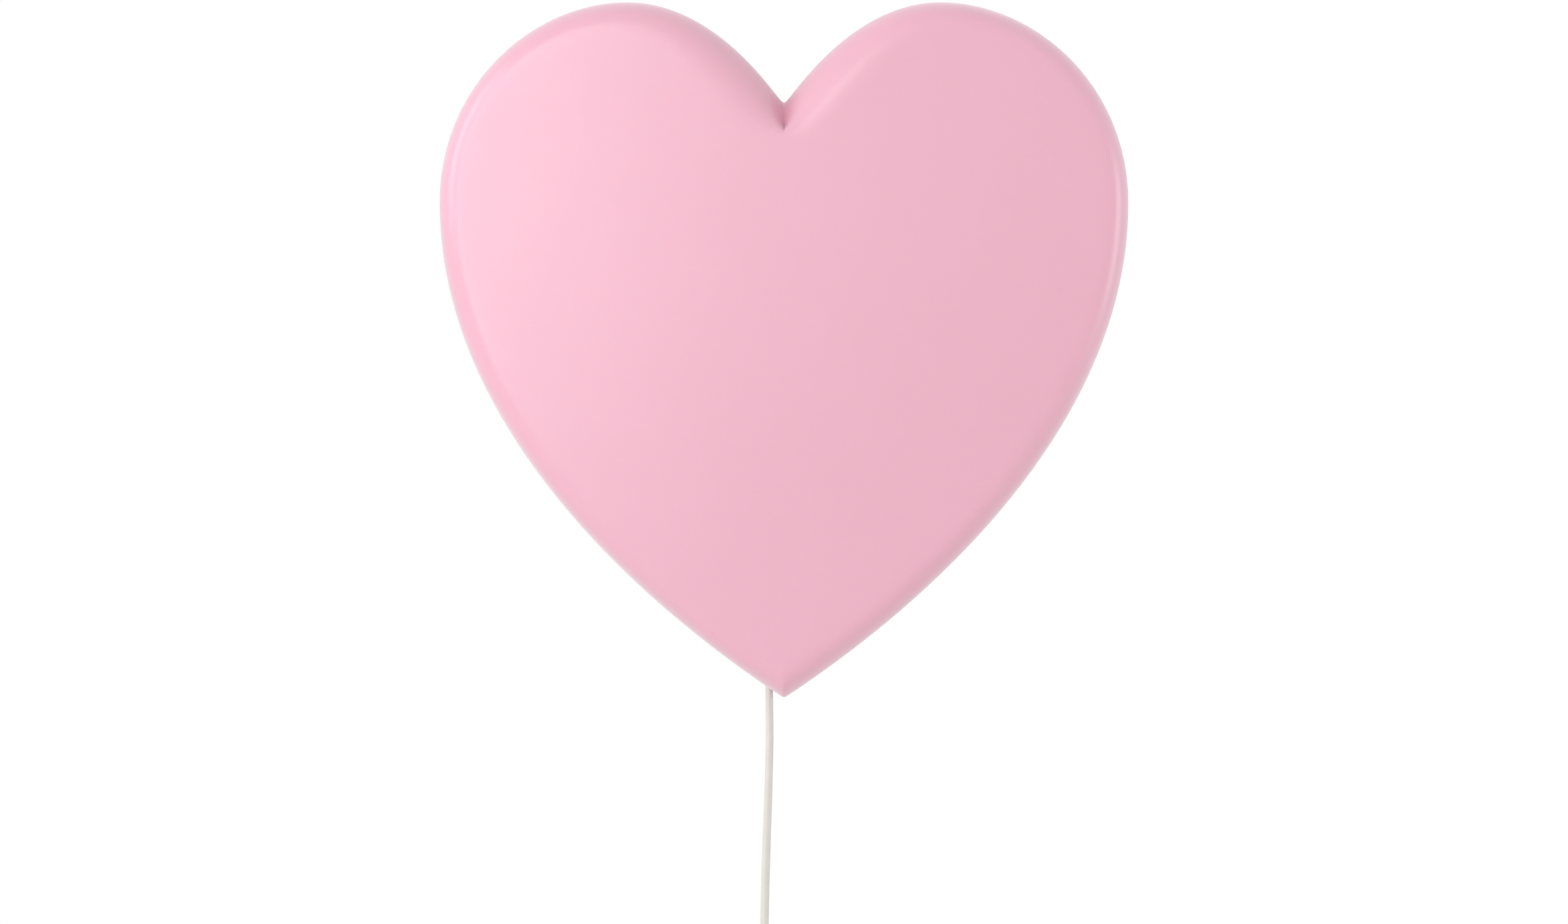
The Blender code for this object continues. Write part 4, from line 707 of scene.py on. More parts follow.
def led_tree():
    """LEDs in white housings, each with a round cup of gel."""
    tree, value, end = geometry_tree("led_packages", {"Size": (0.0035, 0.0010, 0.0028)})
    parts = add(tree, "ShaderNodeSeparateXYZ", {0: value["Size"]}).outputs
    deep, cup_radius = parts["Y"], times(tree, parts["Z"], 0.40)
    cup = shape(tree, "Transform", {
        "Geometry": drum(tree, 32, cup_radius, times(tree, deep, 0.5)),
        "Translation": vector(tree, Y=times(tree, deep, -0.5)), "Rotation": (pi / 2, 0.0, 0.0)})
    housing = hollowed(tree, shape(tree, "MeshCube", {"Size": value["Size"]}), [cup])
    gel = shape(tree, "Transform", {
        "Geometry": ball(tree, 32, 16, cup_radius),
        "Translation": vector(tree, Y=times(tree, deep, -0.30)), "Scale": (1.0, 0.15, 1.0)})
    whole = shape(tree, "JoinGeometry", {
        0: [painted(tree, housing, "white_plastic"), painted(tree, gel, "led_phosphor")]})
    real = shape(tree, "RealizeInstances", {0: seated(tree, value["Seats"], whole)})
    tree.links.new(real, end)
    return tree


def rib_tree():
    """Ribs round a strain relief, evenly apart and widening from the first to the last."""
    tree, value, end = geometry_tree("relief_ribs", {
        "Count": 7, "Pitch": 0.0025, "First radius": 0.003, "Last radius": 0.004, "Thickness": 0.0005})
    step = vector(tree, Z=times(tree, value["Pitch"], -1.0))
    row = shape(tree, "MeshLine", {"Count": value["Count"], "Offset": step})
    share = maths(tree, "DIVIDE", shape(tree, "InputIndex"), minus(tree, value["Count"], 1.0))
    growth = times(tree, share, minus(tree, value["Last radius"], value["First radius"]))
    radius = maths(tree, "ADD", value["First radius"], growth)
    hoops = seated(tree, row, hoop(tree, 48, 1.0), Scale=radius)
    curves = shape(tree, "RealizeInstances", {0: seated(tree, value["Seats"], hoops)})
    profile = hoop(tree, 12, value["Thickness"])
    ribs = shape(tree, "CurveToMesh", {"Curve": curves, "Profile Curve": profile})
    tree.links.new(painted(tree, ribs, "ivory_plastic"), end)
    return tree


# Heart outline

def heart_half():
    """The right half from cleft to tip as (x, z) points, closely spaced."""
    shade = bpy.context.scene.lamp_shade
    cleft = Vector((0.0, TOP_Z - CLEFT_DROP))
    top = Vector((LOBE_TOP_X, TOP_Z))
    side = Vector((shade.width / 2, TOP_Z - WIDEST_DROP))
    tip = Vector((0.0, TOP_Z - shade.height))
    spans = (
        (cleft, cleft + CLEFT_PULL * Vector((sin(CLEFT_ANGLE), cos(CLEFT_ANGLE))),
         top - Vector((LOBE_INNER_PULL, 0.0)), top),
        (top, top + Vector((LOBE_OUTER_PULL, 0.0)), side + Vector((0.0, SHOULDER_PULL)), side),
        (side, side - Vector((0.0, FLANK_PULL)),
         tip + TIP_PULL * Vector((cos(TIP_ANGLE), sin(TIP_ANGLE))), tip))
    half = []
    for span in spans:
        half += [point.copy() for point in interpolate_bezier(*span, SPAN_POINTS)[:-1]]
    return half + [tip]


def spread(points, count, crowd=0.86):
    """Points along a line, closer together towards its two ends."""
    lengths = [0.0]
    for a, b in zip(points, points[1:]):
        lengths.append(lengths[-1] + (b - a).length)
    found, k = [], 0
    for i in range(count):
        share = i / (count - 1)
        target = lengths[-1] * (share - crowd * sin(2 * pi * share) / (2 * pi))
        while k < len(points) - 2 and lengths[k + 1] < target:
            k += 1
        found.append(points[k].lerp(points[k + 1], (target - lengths[k]) / (lengths[k + 1] - lengths[k])))
    return found


def blunted(ordered, blunt):
    """Rounds a half outline where its first point lies on the centre line."""
    slope = (ordered[5].y - ordered[0].y) / ordered[5].x
    for point in ordered[:len(ordered) // 3]:
        fade = max(0.0, 1 - point.x / (5 * blunt)) ** 2
        point.y += slope * (sqrt(point.x ** 2 + blunt ** 2) - point.x) * fade


def heart_ring(half, inset, cleft_drop=0.0):
    """The closed outline moved in by inset, a function of the point, with its cleft drawn down."""
    shade = bpy.context.scene.lamp_shade
    last = len(half) - 1
    moved = []
    for i, point in enumerate(half):
        along = half[min(i + 1, last)] - half[max(i - 1, 0)]
        moved.append(point + Vector((along.y, -along.x)).normalized() * inset(point))
    while moved[-1].x < 0.0:
        beyond = moved.pop()
        if moved[-1].x >= 0.0:
            moved.append(moved[-1].lerp(beyond, moved[-1].x / (moved[-1].x - beyond.x)))
            moved[-1].x = 0.0
            break
    run = moved[1] - moved[0]
    moved.insert(0, moved[0] - run * (moved[0].x / run.x))
    moved = [point for i, point in enumerate(moved) if i == 0 or (point - moved[i - 1]).length > 0.000001]
    right = spread(moved, shade.half_points)
    right[0].x = right[-1].x = 0.0
    overrun = max(0.0, half[0].y - shade.crease_length - right[0].y + cleft_drop)
    blunted(right, shade.cleft_blunt + shade.crease_fill * overrun)
    for point in right[:len(right) // 3]:
        point.y -= cleft_drop * exp(-point.x / shade.crease_width)
    blunted(right[::-1], shade.tip_blunt)
    return right + [Vector((-point.x, point.y)) for point in reversed(right[1:-1])]


def face_y(point):
    shade = bpy.context.scene.lamp_shade
    across = point.x / (shade.width / 2)
    along = (point.y - TOP_Z + shade.height / 2) / (shade.height / 2)
    return -shade.depth + shade.crown * (across ** 2 + along ** 2)


def skin(half, wall, roll_steps=16, face_steps=22):
    """Rings of the shade's outside, or of its inside at a wall's distance, from the rim to the middle."""
    shade = bpy.context.scene.lamp_shade
    lip = 0.0004
    inward = -lip if wall else lip

    def edge(point):
        away = (point - half[0]).length / shade.cleft_reach
        return shade.edge_width + (shade.cleft_width - shade.edge_width) * exp(-away ** 2) - wall

    ring = heart_ring(half, lambda point: wall + inward)
    rings = [[(p.x, -shade.rim_gap, p.y) for p in ring]]
    for share in (0.0, 0.3, 0.65):
        ring = heart_ring(half, lambda point: wall + shade.draft * share)
        foot = -shade.rim_gap - lip
        rings.append([(p.x, foot + (face_y(p) + shade.edge_depth - foot) * share, p.y) for p in ring])
    for k in range(roll_steps + 1):
        turn = min(pi / 2 * k / roll_steps, pi / 2 - 0.000001)
        ring = heart_ring(half, lambda point: wall + shade.draft + edge(point) * (1 - cos(turn) ** (2 / 3)),
                          shade.crease_drop * sin(2 * turn))
        back = wall + (shade.edge_depth - wall) * (1 - sin(turn))
        rings.append([(p.x, face_y(p) + back, p.y) for p in ring])
    centre = TOP_Z - shade.height / 2
    for k in range(1, face_steps):
        share = 1 - k / face_steps
        inner = [Vector((p.x * share, centre + (p.y - centre) * share)) for p in ring]
        rings.append([(p.x, face_y(p) + wall, p.y) for p in inner])
    rings.append([(0.0, -shade.depth + wall, centre)])
    return rings


# Operators

class LampStage(bpy.types.Operator):
    """Makes the camera, the light and the floor"""
    bl_idname = "lamp.stage"
    bl_label = "Stage"

    def execute(self, context):
        scene = context.scene
        stage = scene.lamp_stage
        scene.view_settings.view_transform = "Standard"
        self.make_camera(scene)
        self.make_world(scene, stage)
        for name, power, place, size in LIGHTS:
            self.make_light(scene, name, getattr(stage, power), place, size)
        self.make_floor(stage)
        return {"FINISHED"}

    def make_camera(self, scene):
        data = bpy.data.cameras.new("front_camera")
        data.lens = CAMERA_LENS
        data.sensor_width = 36.0
        data.shift_y = CAMERA_SHIFT
        data.clip_end = 50.0
        camera = bpy.data.objects.new("front_camera", data)
        camera.location = CAMERA_PLACE
        camera.rotation_euler = (pi / 2, 0.0, 0.0)
        scene.collection.objects.link(camera)
        scene.camera = camera

    def make_world(self, scene, stage):
        world = bpy.data.worlds.new("white_room")
        world.use_nodes = True
        tree = world.node_tree
        tree.nodes.clear()
        ambient = output(tree, "ShaderNodeBackground", {"Color": WHITE, "Strength": stage.ambient})
        white = output(tree, "ShaderNodeBackground", {"Color": WHITE, "Strength": 1.0})
        mixed = output(tree, "ShaderNodeMixShader", {0: seen_directly(tree), 1: ambient, 2: white})
        add(tree, "ShaderNodeOutputWorld", {"Surface": mixed})
        scene.world = world

    def make_light(self, scene, name, power, place, size):
        data = bpy.data.lights.new(name, "AREA")
        data.shape = "RECTANGLE"
        data.size, data.size_y = size
        data.energy = power
        light = bpy.data.objects.new(name, data)
        light.location = place
        light.rotation_euler = (LIGHT_TARGET - Vector(place)).to_track_quat("-Z", "Y").to_euler()
        light.visible_camera = False
        scene.collection.objects.link(light)

    def make_floor(self, stage):
        work = bmesh.new()
        level = CAD_BOX[0].z - stage.floor_drop
        bmesh.ops.create_grid(work, x_segments=4, y_segments=4, size=stage.floor_size / 2,
                              matrix=Matrix.Translation((0.0, 0.0, level)))
        floor = piece("floor", work)
        floor.data.materials.append(self.floor_finish(stage))

    def floor_finish(self, stage):
        """A pale floor that keeps the shadow and passes into the white background farther out."""
        made = surface("pale_floor", (0.86, 0.86, 0.85), 0.7, cloud=(3.0, 0.01), grain=(300.0, 0.00005))
        tree = made.node_tree
        where = add(tree, "ShaderNodeTexCoord").outputs["Object"]
        away = add(tree, "ShaderNodeVectorMath", {0: where}, operation="LENGTH").outputs["Value"]
        far = ranged(tree, away, 0.0, 1.0, stage.floor_near, stage.floor_far)
        share = times(tree, far, seen_directly(tree))
        pale = tree.nodes["Principled BSDF"].outputs[0]
        white = output(tree, "ShaderNodeEmission", {"Color": WHITE, "Strength": 1.0})
        mixed = output(tree, "ShaderNodeMixShader", {0: share, 1: pale, 2: white})
        tree.links.new(mixed, tree.nodes["Material Output"].inputs["Surface"])
        return made


class LampShade(bpy.types.Operator):
    """Makes the heart-shaped shade with its rolled edge, its notch and its screw lugs"""
    bl_idname = "lamp.shade"
    bl_label = "Shade"

    def execute(self, context):
        half = heart_half()
        work = bmesh.new()
        shell(work, skin(half, 0.0), skin(half, context.scene.lamp_shade.wall))
        work = reopened(carved(piece("heart_shade", work, "pink_shade"), [self.notch()]))
        for k in range(1, 7):
            self.add_lug(work, "shade_screw_%d" % k)
        settle(piece("heart_shade_with_lugs", work, "pink_shade"), "pink_shade", "shade")
        return {"FINISHED"}

    def notch(self):
        """A round-bottomed slot for the cord bush, open at the rim."""
        x, y = DROP[0][:2]
        reach, behind, above, below = BUSH_RADIUS + FIT, 0.0015, 0.0076, 0.012
        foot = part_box("cord_bush")[0].z
        arc = [(x + reach * cos(-pi * k / 20), y + reach * sin(-pi * k / 20)) for k in range(21)]
        outline = [(x + reach, behind)] + arc + [(x - reach, behind)]
        work = bmesh.new()
        lofted(work, [[(px, py, level) for px, py in outline] for level in (foot + above, foot - below)])
        return piece("cord_notch", work)

    def add_lug(self, work, screw):
        """A round lug with a blind hole for a screw."""
        seat = middle_of(screw)
        back, length, deep, bore, radius, lip = 0.0113, 0.014, 0.0093, 0.0017, 0.005, 0.0003
        place = Matrix.Translation((seat.x, -back, seat.z)) @ Matrix.Rotation(pi / 2, 4, "X")
        spun(work, [
            (0.0, deep), (bore, deep), (bore, lip), (bore + lip, 0.0), (radius - lip, 0.0), (radius, lip),
            (radius, length - lip), (radius - lip, length), (0.0, length)], place, 36)


class LampBack(bpy.types.Operator):
    """Makes the back plate with its wiring bay, and the bay's cover"""
    bl_idname = "lamp.back"
    bl_label = "Back plate and cover"

    def execute(self, context):
        softened("plate_moulding", "back_plate", MOULDED_EDGE, "white_plastic")
        softened("cover_moulding", "bay_cover", MOULDED_EDGE, "white_plastic")
        return {"FINISHED"}


class LampBracket(bpy.types.Operator):
    """Makes the wall bracket of pressed steel"""
    bl_idname = "lamp.bracket"
    bl_label = "Wall bracket"

    def execute(self, context):
        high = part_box("wall_bracket")[1]
        corner, sheet, edge_width = 0.004, 0.0015, 0.0003

        def at_corner(vert):
            return (abs(abs(vert.co.x) - high.x) < FIT and abs(abs(vert.co.z) - high.z) < FIT
                    and vert.co.y > -sheet - FIT)

        work = merged("wall_bracket")
        corners = [edge for edge in work.edges if all(at_corner(vert) for vert in edge.verts)
                   and abs(edge.verts[0].co.y - edge.verts[1].co.y) > sheet / 2]
        if len(corners) != 4:
            raise RuntimeError("the bracket has %d corners" % len(corners))
        bmesh.ops.bevel(work, geom=corners, offset=corner, segments=8, profile=0.5, affect="EDGES")
        bracket = rounded(piece("bracket_pressing", work, "zinc_steel"), edge_width, 3)
        settle(bracket, "zinc_steel", "wall_bracket", body="bracket")
        return {"FINISHED"}


class LampScrews(bpy.types.Operator):
    """Makes every screw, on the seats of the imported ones"""
    bl_idname = "lamp.screws"
    bl_label = "Screws"

    def execute(self, context):
        settings = context.scene.lamp_screws
        rise = settings.head_height
        tree = screw_tree(settings.seed)
        thick, thin, to_wall, to_room = 0.0014, 0.0010, 1, -1
        for group, count, facing, shank in (
                ("shade", 6, to_wall, thick), ("cover", 4, to_wall, thick), ("led", 2, to_room, thick),
                ("driver", 2, to_wall, thick), ("clamp", 2, to_wall, thick), ("switch", 2, to_wall, thin)):
            nodes = ["%s_screw_%d" % (group, k + 1) for k in range(count)]
            seats = []
            for node in nodes:
                low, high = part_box(node)
                seat = middle_of(node)
                seats.append((seat.x, high.y - rise if facing == to_wall else low.y + rise, seat.z))
            low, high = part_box(nodes[0])
            screws = grown(group + "_screw_set", tree, seats, {
                "Head radius": (high.x - low.x) / 2, "Head height": rise, "Shank radius": shank,
                "Length": high.y - low.y - rise, "Pitch": settings.thread_pitch,
                "Turn": (-facing * pi / 2, 0.0, 0.0)})
            settle(screws, "zinc_steel", *nodes)
        return {"FINISHED"}


class LampLightBoard(bpy.types.Operator):
    """Makes the LED board with its LEDs, its plug and the two wires to it"""
    bl_idname = "lamp.light_board"
    bl_label = "LED board"

    def execute(self, context):
        softened("led_board_sheet", "led_board", SHEET_EDGE, "white_board")
        nodes = ["led_%d" % (k + 1) for k in range(9)]
        low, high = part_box(nodes[0])
        seats = [middle_of(node) for node in nodes]
        leds = grown("led_set", led_tree(), seats, {"Size": tuple(high - low)})
        settle(leds, "led_phosphor", *nodes)
        softened("led_plug_housing", "led_plug", 0.0004, "white_plastic")
        for node, x, slot in (("led_wire_positive", 0.028, "red_wire"),
                              ("led_wire_negative", 0.032, "black_plastic")):
            make_wire(node + "_lead", node, slot, [(x, y, z) for y, z in (
                (-0.0278, -0.0400), (-0.0243, -0.0400), (-0.0208, -0.0335), (-0.02525, -0.0270),
                (-0.0297, -0.0270))])
        return {"FINISHED"}


class LampDriver(bpy.types.Operator):
    """Makes the driver board with its transformer, its capacitor, its terminals and its mains wires"""
    bl_idname = "lamp.driver"
    bl_label = "Driver"

    def execute(self, context):
        softened("driver_board_sheet", "driver_board", SHEET_EDGE, "green_board")
        core = softened("transformer_core", "driver_transformer", 0.0004, "ferrite", "tape")
        middle, core_reach = middle_of("driver_transformer").z, 0.0072
        for face in core.data.polygons:
            face.material_index = 1 if abs(face.center.z - middle) > core_reach else 0
        softened("terminal_housing", "terminal_block", MOULDED_EDGE, "white_plastic")
        self.make_capacitor()
        for node, side, slot in (("live_wire", -1, "brown_wire"), ("neutral_wire", 1, "blue_wire")):
            near, far = LEAD_X + side * 0.0009, LEAD_X + side * 0.0025
            make_wire(node + "_core", node, slot, (
                (near, -0.0200, -0.0702), (near, -0.0200, -0.0688),
                (far, -0.0228, -0.0655), (far, -0.0228, -0.0627)))
        return {"FINISHED"}

    def make_capacitor(self):
        """A can in a sleeve, its bare top sunk inside the sleeve's rounded edge."""
        low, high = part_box("driver_capacitor")
        middle = middle_of("driver_capacitor")
        radius, height, lip = (high.x - low.x) / 2, high.y - low.y, 0.0006
        bare, rim, sunk, neck, waist_depth = 0.0016, 0.0013, 0.0003, 0.0022, 0.0004
        place = Matrix.Translation((middle.x, low.y, middle.z)) @ Matrix.Rotation(-pi / 2, 4, "X")
        top = [(0.0, height - sunk), (radius - bare, height - sunk), (radius - rim, height)]
        corner = [(radius - lip + lip * sin(t), height - lip + lip * cos(t)) for t in quarter_turns(6)]
        waist = [(radius, neck + 0.0008), (radius - waist_depth, neck + 0.0004),
                 (radius - waist_depth, neck), (radius, neck - 0.0005)]
        work = bmesh.new()
        spun(work, top + corner + waist + [(radius, 0.0), (0.0, 0.0)], place, 48)
        for face in work.faces:
            spot = face.calc_center_median() - place.translation
            high_up = spot.y > height - 0.0002 - lip / 2
            face.material_index = 1 if high_up and Vector((spot.x, spot.z)).length < radius - 0.0012 else 0
        can = piece("capacitor_can", work, "black_plastic", "nickel")
        settle(can, "black_plastic", "driver_capacitor")


class LampLeadInside(bpy.types.Operator):
    """Makes the lead inside the lamp, with its clamp and its bush"""
    bl_idname = "lamp.lead_inside"
    bl_label = "Lead inside"

    def execute(self, context):
        lead = context.scene.lamp_lead
        inside = tube("lead_inside", smooth_route(LEAD_IN, 0.002), lead.thickness, lead.thickness,
                      "ivory_cord", lead.sides)
        settle(inside, "ivory_cord", "cord_lead_in")
        softened("clamp_bar", "cord_clamp", MOULDED_EDGE, "white_plastic")
        low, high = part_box("cord_bush")
        middle = middle_of("cord_bush")
        collar, radius, bore, lip = (high.x - low.x) / 2, BUSH_RADIUS, LEAD_BORE, 0.0004
        neck, head = 0.0079, high.z - low.z
        work = bmesh.new()
        spun(work, [
            (bore, head - lip), (bore + lip, head), (collar - lip, head), (collar, head - lip),
            (collar, neck + lip / 2), (collar - lip / 2, neck), (radius, neck), (radius, lip),
            (radius - lip, 0.0), (bore + lip, 0.0), (bore, lip), (bore, head - lip)],
            Matrix.Translation((middle.x, middle.y, low.z)), 48)
        settle(piece("bush_sleeve", work, "ivory_rubber"), "ivory_rubber", "cord_bush")
        return {"FINISHED"}


class LampSwitch(bpy.types.Operator):
    """Makes the switch in the lead: its two halves, its rocker, its pin and its contacts"""
    bl_idname = "lamp.switch"
    bl_label = "Switch"

    def execute(self, context):
        holes = self.ways("base") + self.screw_holes(context.scene.lamp_screws.head_height)
        settle(carved(self.half("switch_lower_case", 1), holes), "ivory_plastic", "switch_base")
        low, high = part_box("switch_rocker")
        gap, half_height, middle_z, front_y, back_y = 0.0004, 0.01155, SWITCH_MIDDLE.z, -0.0200, -0.0155
        window = block("window", (low.x - gap, front_y, middle_z - half_height),
                       (high.x + gap, back_y, middle_z + half_height))
        cover = carved(self.half("switch_upper_case", -1), self.ways("cover") + [window])
        settle(cover, "ivory_plastic", "switch_cover")
        self.make_rocker()
        self.make_pin()
        for name, node in (("contact_spring", "contact_leaf"), ("contact_post_1", "switch_contact_1"),
                           ("contact_post_2", "switch_contact_2")):
            softened(name, node, 0.00015, "brass")
        return {"FINISHED"}

    def half(self, name, side):
        """One half of the case as a closed shell: side +1 lies to the wall, -1 to the room."""
        deep, corner, wall, seam = 0.0085, 0.0035, 0.002, 0.00025
        inner_corner = corner - wall

        def ring(inset, depth):
            power = 2 / SWITCH_SQUARENESS
            outline = squared(SWITCH_WIDTH / 2 - inset, SWITCH_LENGTH / 2 - inset, (power, power), 80)
            return [SWITCH_MIDDLE + Vector((x, side * depth, z)) for x, z in outline]

        outer = [ring(seam, FIT / 2), ring(0.0, FIT / 2 + seam)]
        outer += [ring(corner * (1 - cos(t)), deep - corner * (1 - sin(t))) for t in quarter_turns(9)]
        inner = [ring(wall, FIT / 2), ring(wall, deep - corner)]
        inner += [ring(wall + inner_corner * (1 - cos(t)), deep - corner + inner_corner * sin(t))
                  for t in quarter_turns(5)[1:]]
        work = bmesh.new()
        for end in shell(work, outer, inner):
            work.faces.new(end)
        return piece(name, work, "ivory_plastic")

    def ways(self, name):
        """Cutters for the holes where the lead goes in and out."""
        found = []
        for side in (-1, 1):
            near = SWITCH_MIDDLE + Vector((0.0, 0.0, side * (SWITCH_LENGTH / 2 - SWITCH_GRIP - FIT)))
            far = SWITCH_MIDDLE + Vector((0.0, 0.0, side * SWITCH_LENGTH))
            found.append(rod("%s_way_%d" % (name, side + 1), near, far, LEAD_BORE))
        return found

    def screw_holes(self, head_height):
        """Cutters for the screws' heads, then for their shanks."""
        heads, shanks, shank_bore = [], [], 0.0013
        for k in (1, 2):
            low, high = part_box("switch_screw_%d" % k)
            x, z = (low.x + high.x) / 2, (low.z + high.z) / 2
            seat, seam = high.y - head_height - FIT, SWITCH_MIDDLE.y - FIT
            heads.append(rod("head_sink_%d" % k, (x, seat, z), (x, 0.0, z), (high.x - low.x) / 2 + FIT))
            shanks.append(rod("shank_hole_%d" % k, (x, seam, z), (x, seat + FIT, z), shank_bore, 24))
        return heads + shanks

    def make_rocker(self):
        """The rocker as it is packed, with rounded edges and raised on and off marks."""
        button = piece("rocker_button", merged("switch_rocker"), "ivory_plastic")
        work = reopened(rounded(button, 0.00035, 3))
        place = Matrix.Translation(middle_of("rocker_pin")) @ Matrix.Rotation(-radians(8), 4, "X")
        inner, outer, rise, mark_z = 0.0008, 0.0013, 0.0004, 0.0066
        off = place @ Matrix.Translation((0.0, -0.0048, mark_z)) @ Matrix.Rotation(pi / 2, 4, "X")
        spun(work, [(inner, 0.0), (inner, rise), (outer, rise), (outer, 0.0), (inner, 0.0)], off, 36)
        bar = Matrix.Diagonal((0.0006, rise, 0.0028, 1.0))
        bmesh.ops.create_cube(
            work, size=1.0, matrix=place @ Matrix.Translation((0.0, -0.0050, -mark_z)) @ bar)
        marked = piece("rocker_with_marks", work, "ivory_plastic")
        settle(marked, "ivory_plastic", "switch_rocker", body="rocker")

    def make_pin(self):
        low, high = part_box("rocker_pin")
        middle = middle_of("rocker_pin")
        radius, length, lip = (high.z - low.z) / 2, high.x - low.x, 0.0002
        work = bmesh.new()
        spun(work, [
            (0.0, 0.0), (radius - lip, 0.0), (radius, lip), (radius, length - lip), (radius - lip, length),
            (0.0, length)],
            Matrix.Translation((low.x, middle.y, middle.z)) @ Matrix.Rotation(pi / 2, 4, "Y"), 24)
        settle(piece("pin_rod", work, "zinc_steel"), "zinc_steel", "rocker_pin")


def climbed(spiral):
    """Layers climbed after so many turns of the coil."""
    layers = 0.0
    for k in range(1, COIL_LAYERS):
        share = min(max((spiral - k * TURNS_PER_LAYER) * 2 + 0.5, 0.0), 1.0)
        layers += share * share * (3 - 2 * share)
    return layers


def coil_points():
    """From the switch into the coil, in and out in layers, and down into the plug."""
    outer = COIL_MEAN_RADIUS + TURNS_PER_LAYER * COIL_PITCH / 2
    inner = COIL_MEAN_RADIUS - TURNS_PER_LAYER * COIL_PITCH / 2
    full = 2 * pi * COIL_LAYERS * TURNS_PER_LAYER + COIL_END_TURN
    count = round(full / (2 * pi) * LOOP_POINTS)
    loops = []
    for k in range(count + 1):
        spiral = full * k / count / (2 * pi)
        layer = min(int(spiral / TURNS_PER_LAYER), COIL_LAYERS - 1)
        share = spiral / TURNS_PER_LAYER - layer
        radius = outer - (outer - inner) * (share if layer % 2 == 0 else 1 - share)
        turn = COIL_START + 2 * pi * spiral
        rise = -COIL_PITCH * climbed(spiral)
        loops.append(COIL_MIDDLE + Vector((radius * cos(turn), rise, radius * sin(turn))))
    heading = Vector((-sin(COIL_START), 0.0, cos(COIL_START)))
    start = SWITCH_MIDDLE - Vector((0.0, 0.0, SWITCH_LENGTH / 2 - SWITCH_GRIP))
    out = start - Vector((0.0, 0.0, 2 * SWITCH_GRIP))
    end = loops[0] - heading * LEAD_STRAIGHT
    pull = (out.z - end.z) / 3
    bend = interpolate_bezier(out, out - Vector((0.0, 0.0, pull)), end - heading * pull, end, 24)
    last = loops[-1]
    foot = Vector((last.x, last.y, PLUG_TOP - PLUG_GRIP))
    steps = max(2, round((last.z - foot.z) / 0.002))
    return ([start, (start + out) / 2] + list(bend) + [loops[0] - heading * LEAD_STRAIGHT / 2] + loops
            + [last.lerp(foot, k / steps) for k in range(1, steps + 1)])


class LampLead(bpy.types.Operator):
    """Makes the free lead: down to the switch, then into its coil and on to the plug"""
    bl_idname = "lamp.lead"
    bl_label = "Lead"

    def execute(self, context):
        lead = context.scene.lamp_lead
        route = smooth_route(DROP, 0.0015)
        twisted_share = 0.85
        drop = tube("lead_drop", route, lead.width, lead.thickness, "ivory_cord", lead.sides,
                    lambda share: pi / 2 * max(0.0, 1 - share / twisted_share))
        settle(drop, "ivory_cord", "cord_drop")
        points = coil_points()
        coil = tube("lead_coil", points, lead.width, lead.thickness, "ivory_cord", lead.sides)
        settle(coil, "ivory_cord", "cord_to_coil", "cord_coil", "cord_to_plug")
        return {"FINISHED"}


class LampTie(bpy.types.Operator):
    """Makes the flat band that ties the coil"""
    bl_idname = "lamp.tie"
    bl_label = "Tie"

    def execute(self, context):
        lead_radius, thick, width, corner = 0.00175, 0.001, 0.006, 0.002
        slack, inner_slack = 0.0006, 0.0012
        reach = TURNS_PER_LAYER * COIL_PITCH / 2
        inner = COIL_MEAN_RADIUS - reach - lead_radius - inner_slack
        outer = COIL_MEAN_RADIUS + reach + lead_radius + slack
        depth = (COIL_LAYERS - 1) * COIL_PITCH / 2
        half_depth = depth + lead_radius + slack
        across = Vector((cos(TIE_ANGLE), 0.0, sin(TIE_ANGLE)))
        along = Vector((-sin(TIE_ANGLE), 0.0, cos(TIE_ANGLE)))
        centre = COIL_MIDDLE - TO_WALL * depth + across * (inner + outer) / 2
        outline = squared(width / 2, thick / 2, (0.25, 0.5), 16)
        sections = []
        for quarter, (sx, sy) in enumerate(((1, 1), (-1, 1), (-1, -1), (1, -1))):
            spot = (centre + across * sx * ((outer - inner) / 2 - corner)
                    + TO_WALL * sy * (half_depth - corner))
            for k in range(11):
                turn = pi / 2 * (quarter + k / 10)
                out = across * cos(turn) + TO_WALL * sin(turn)
                sections.append([spot + out * (corner + thick / 2 + rise) + along * side
                                 for side, rise in outline])
        work = bmesh.new()
        loops = lofted(work, sections, capped=False)
        bridge(work, [loops[-1], loops[0]])
        settle(piece("tie_band", work, "ivory_plastic", angle=50), "ivory_plastic", "cord_tie")
        return {"FINISHED"}


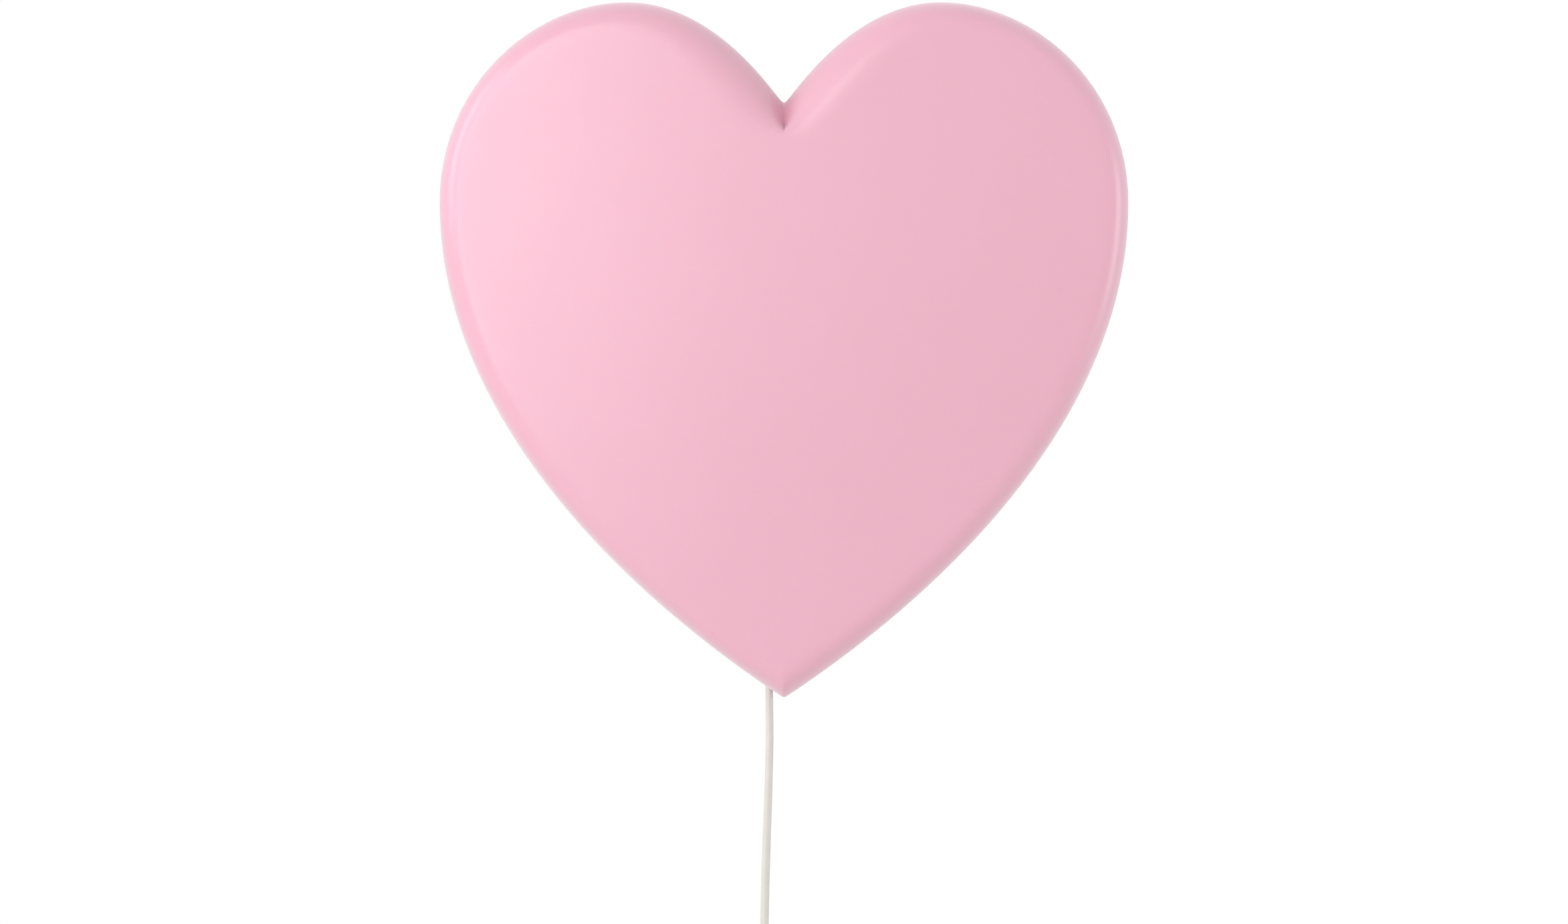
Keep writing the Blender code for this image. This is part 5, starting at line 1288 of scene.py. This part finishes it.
class LampPlug(bpy.types.Operator):
    """Makes the plug's body, the ribs of its strain relief and its sleeved pins"""
    bl_idname = "lamp.plug"
    bl_label = "Plug"

    def execute(self, context):
        low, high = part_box("plug_body")
        middle = middle_of("plug_body")
        self.make_body(middle.x, middle.y, (high - low) / 2, high.z - low.z)
        first_rib = 0.0022
        ribs = grown("plug_ribs", rib_tree(), [(middle.x, middle.y, PLUG_TOP - first_rib)], {
            "Count": 7, "Pitch": 0.0026, "First radius": 0.00285, "Last radius": 0.0040,
            "Thickness": 0.00055})
        settle(ribs, "ivory_plastic")
        self.make_pins(low.z)
        return {"FINISHED"}

    def make_body(self, x, y, half, length):
        """Rings down the lead's bore, the round relief and the body, squarer towards the pins."""
        relief, bore, steps, slim, flare = 0.020, 0.0021, 8, 0.0028, 0.0014
        rows = [(PLUG_GRIP + FIT, bore, bore, 2.0), (0.0, bore, bore, 2.0)]
        for k in range(steps + 1):
            radius = slim + flare * k / steps
            rows.append((relief * k / steps, radius, radius, 2.0))
        for along, wide, thick, squareness in (
                (0.06, 0.42, 0.69, 2.1), (0.12, 0.55, 0.80, 2.4), (0.24, 0.74, 0.90, 2.6),
                (0.40, 0.90, 0.97, 2.8), (0.60, 0.97, 0.99, 3.0), (0.80, 0.995, 1.0, 3.2),
                (0.94, 1.0, 1.0, 3.2), (0.975, 0.99, 0.98, 3.2), (1.0, 0.95, 0.90, 3.2)):
            rows.append((relief + (length - relief) * along, half.x * wide, half.y * thick, squareness))
        rings = []
        for along, wide, thick, squareness in rows:
            outline = squared(wide, thick, (2 / squareness, 2 / squareness), 72)
            rings.append([(x + px, y + py, PLUG_TOP - along) for px, py in outline])
        work = bmesh.new()
        lofted(work, rings)
        settle(piece("plug_moulding", work, "ivory_plastic", angle=42), "ivory_plastic", "plug_body")

    def make_pins(self, face_z):
        """Two pins with rounded noses, sleeved next to the plug's face."""
        work = bmesh.new()
        sleeve, groove = 0.0095, 0.0002
        for k in (1, 2):
            low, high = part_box("plug_pin_%d" % k)
            middle = middle_of("plug_pin_%d" % k)
            radius, root, end = (high.x - low.x) / 2, high.z - face_z, low.z - face_z
            nose = [(radius * cos(t), end + radius * 0.8 * (1 - sin(t))) for t in quarter_turns(8)[:-1]]
            profile = [(0.0, root), (radius, root), (radius, 0.0001 - sleeve), (radius - groove, -sleeve),
                       (radius - groove, -sleeve - groove), (radius, -sleeve - 0.0003)] + nose + [(0.0, end)]
            spun(work, profile, Matrix.Translation((middle.x, middle.y, face_z)), 36)
        for face in work.faces:
            face.material_index = 1 if face.calc_center_median().z > face_z - sleeve else 0
        settle(piece("plug_pin_set", work, "nickel", "black_plastic"), "nickel", "plug_pin_1", "plug_pin_2")


class LampPanel(bpy.types.Panel):
    """Lists the lamp's pieces in the order in which they are made"""
    bl_idname = "VIEW3D_PT_wall_lamp"
    bl_label = "Wall lamp"
    bl_space_type = "VIEW_3D"
    bl_region_type = "UI"
    bl_category = "Wall lamp"

    def draw(self, context):
        for operator in OPERATORS:
            self.layout.operator(operator.bl_idname)


SETTINGS = (
    ("lamp_shade", LampShadeSettings), ("lamp_lead", LampLeadSettings), ("lamp_screws", LampScrewSettings),
    ("lamp_stage", LampStageSettings))
OPERATORS = (
    LampStage, LampShade, LampBack, LampBracket, LampScrews, LampLightBoard, LampDriver, LampLeadInside,
    LampSwitch, LampTie, LampPlug, LampLead)


def register():
    for name, group in SETTINGS:
        bpy.utils.register_class(group)
        setattr(bpy.types.Scene, name, PointerProperty(type=group))
    for kind in (*OPERATORS, LampPanel):
        bpy.utils.register_class(kind)


def unregister():
    for kind in (LampPanel, *reversed(OPERATORS)):
        bpy.utils.unregister_class(kind)
    for name, group in SETTINGS:
        delattr(bpy.types.Scene, name)
        bpy.utils.unregister_class(group)


def main():
    register()
    bpy.ops.lamp.stage()
    bpy.ops.lamp.shade()
    bpy.ops.lamp.back()
    bpy.ops.lamp.bracket()
    bpy.ops.lamp.screws()
    bpy.ops.lamp.light_board()
    bpy.ops.lamp.driver()
    bpy.ops.lamp.lead_inside()
    bpy.ops.lamp.switch()
    bpy.ops.lamp.tie()
    bpy.ops.lamp.plug()
    bpy.ops.lamp.lead()


if __name__ == "__main__":
    main()
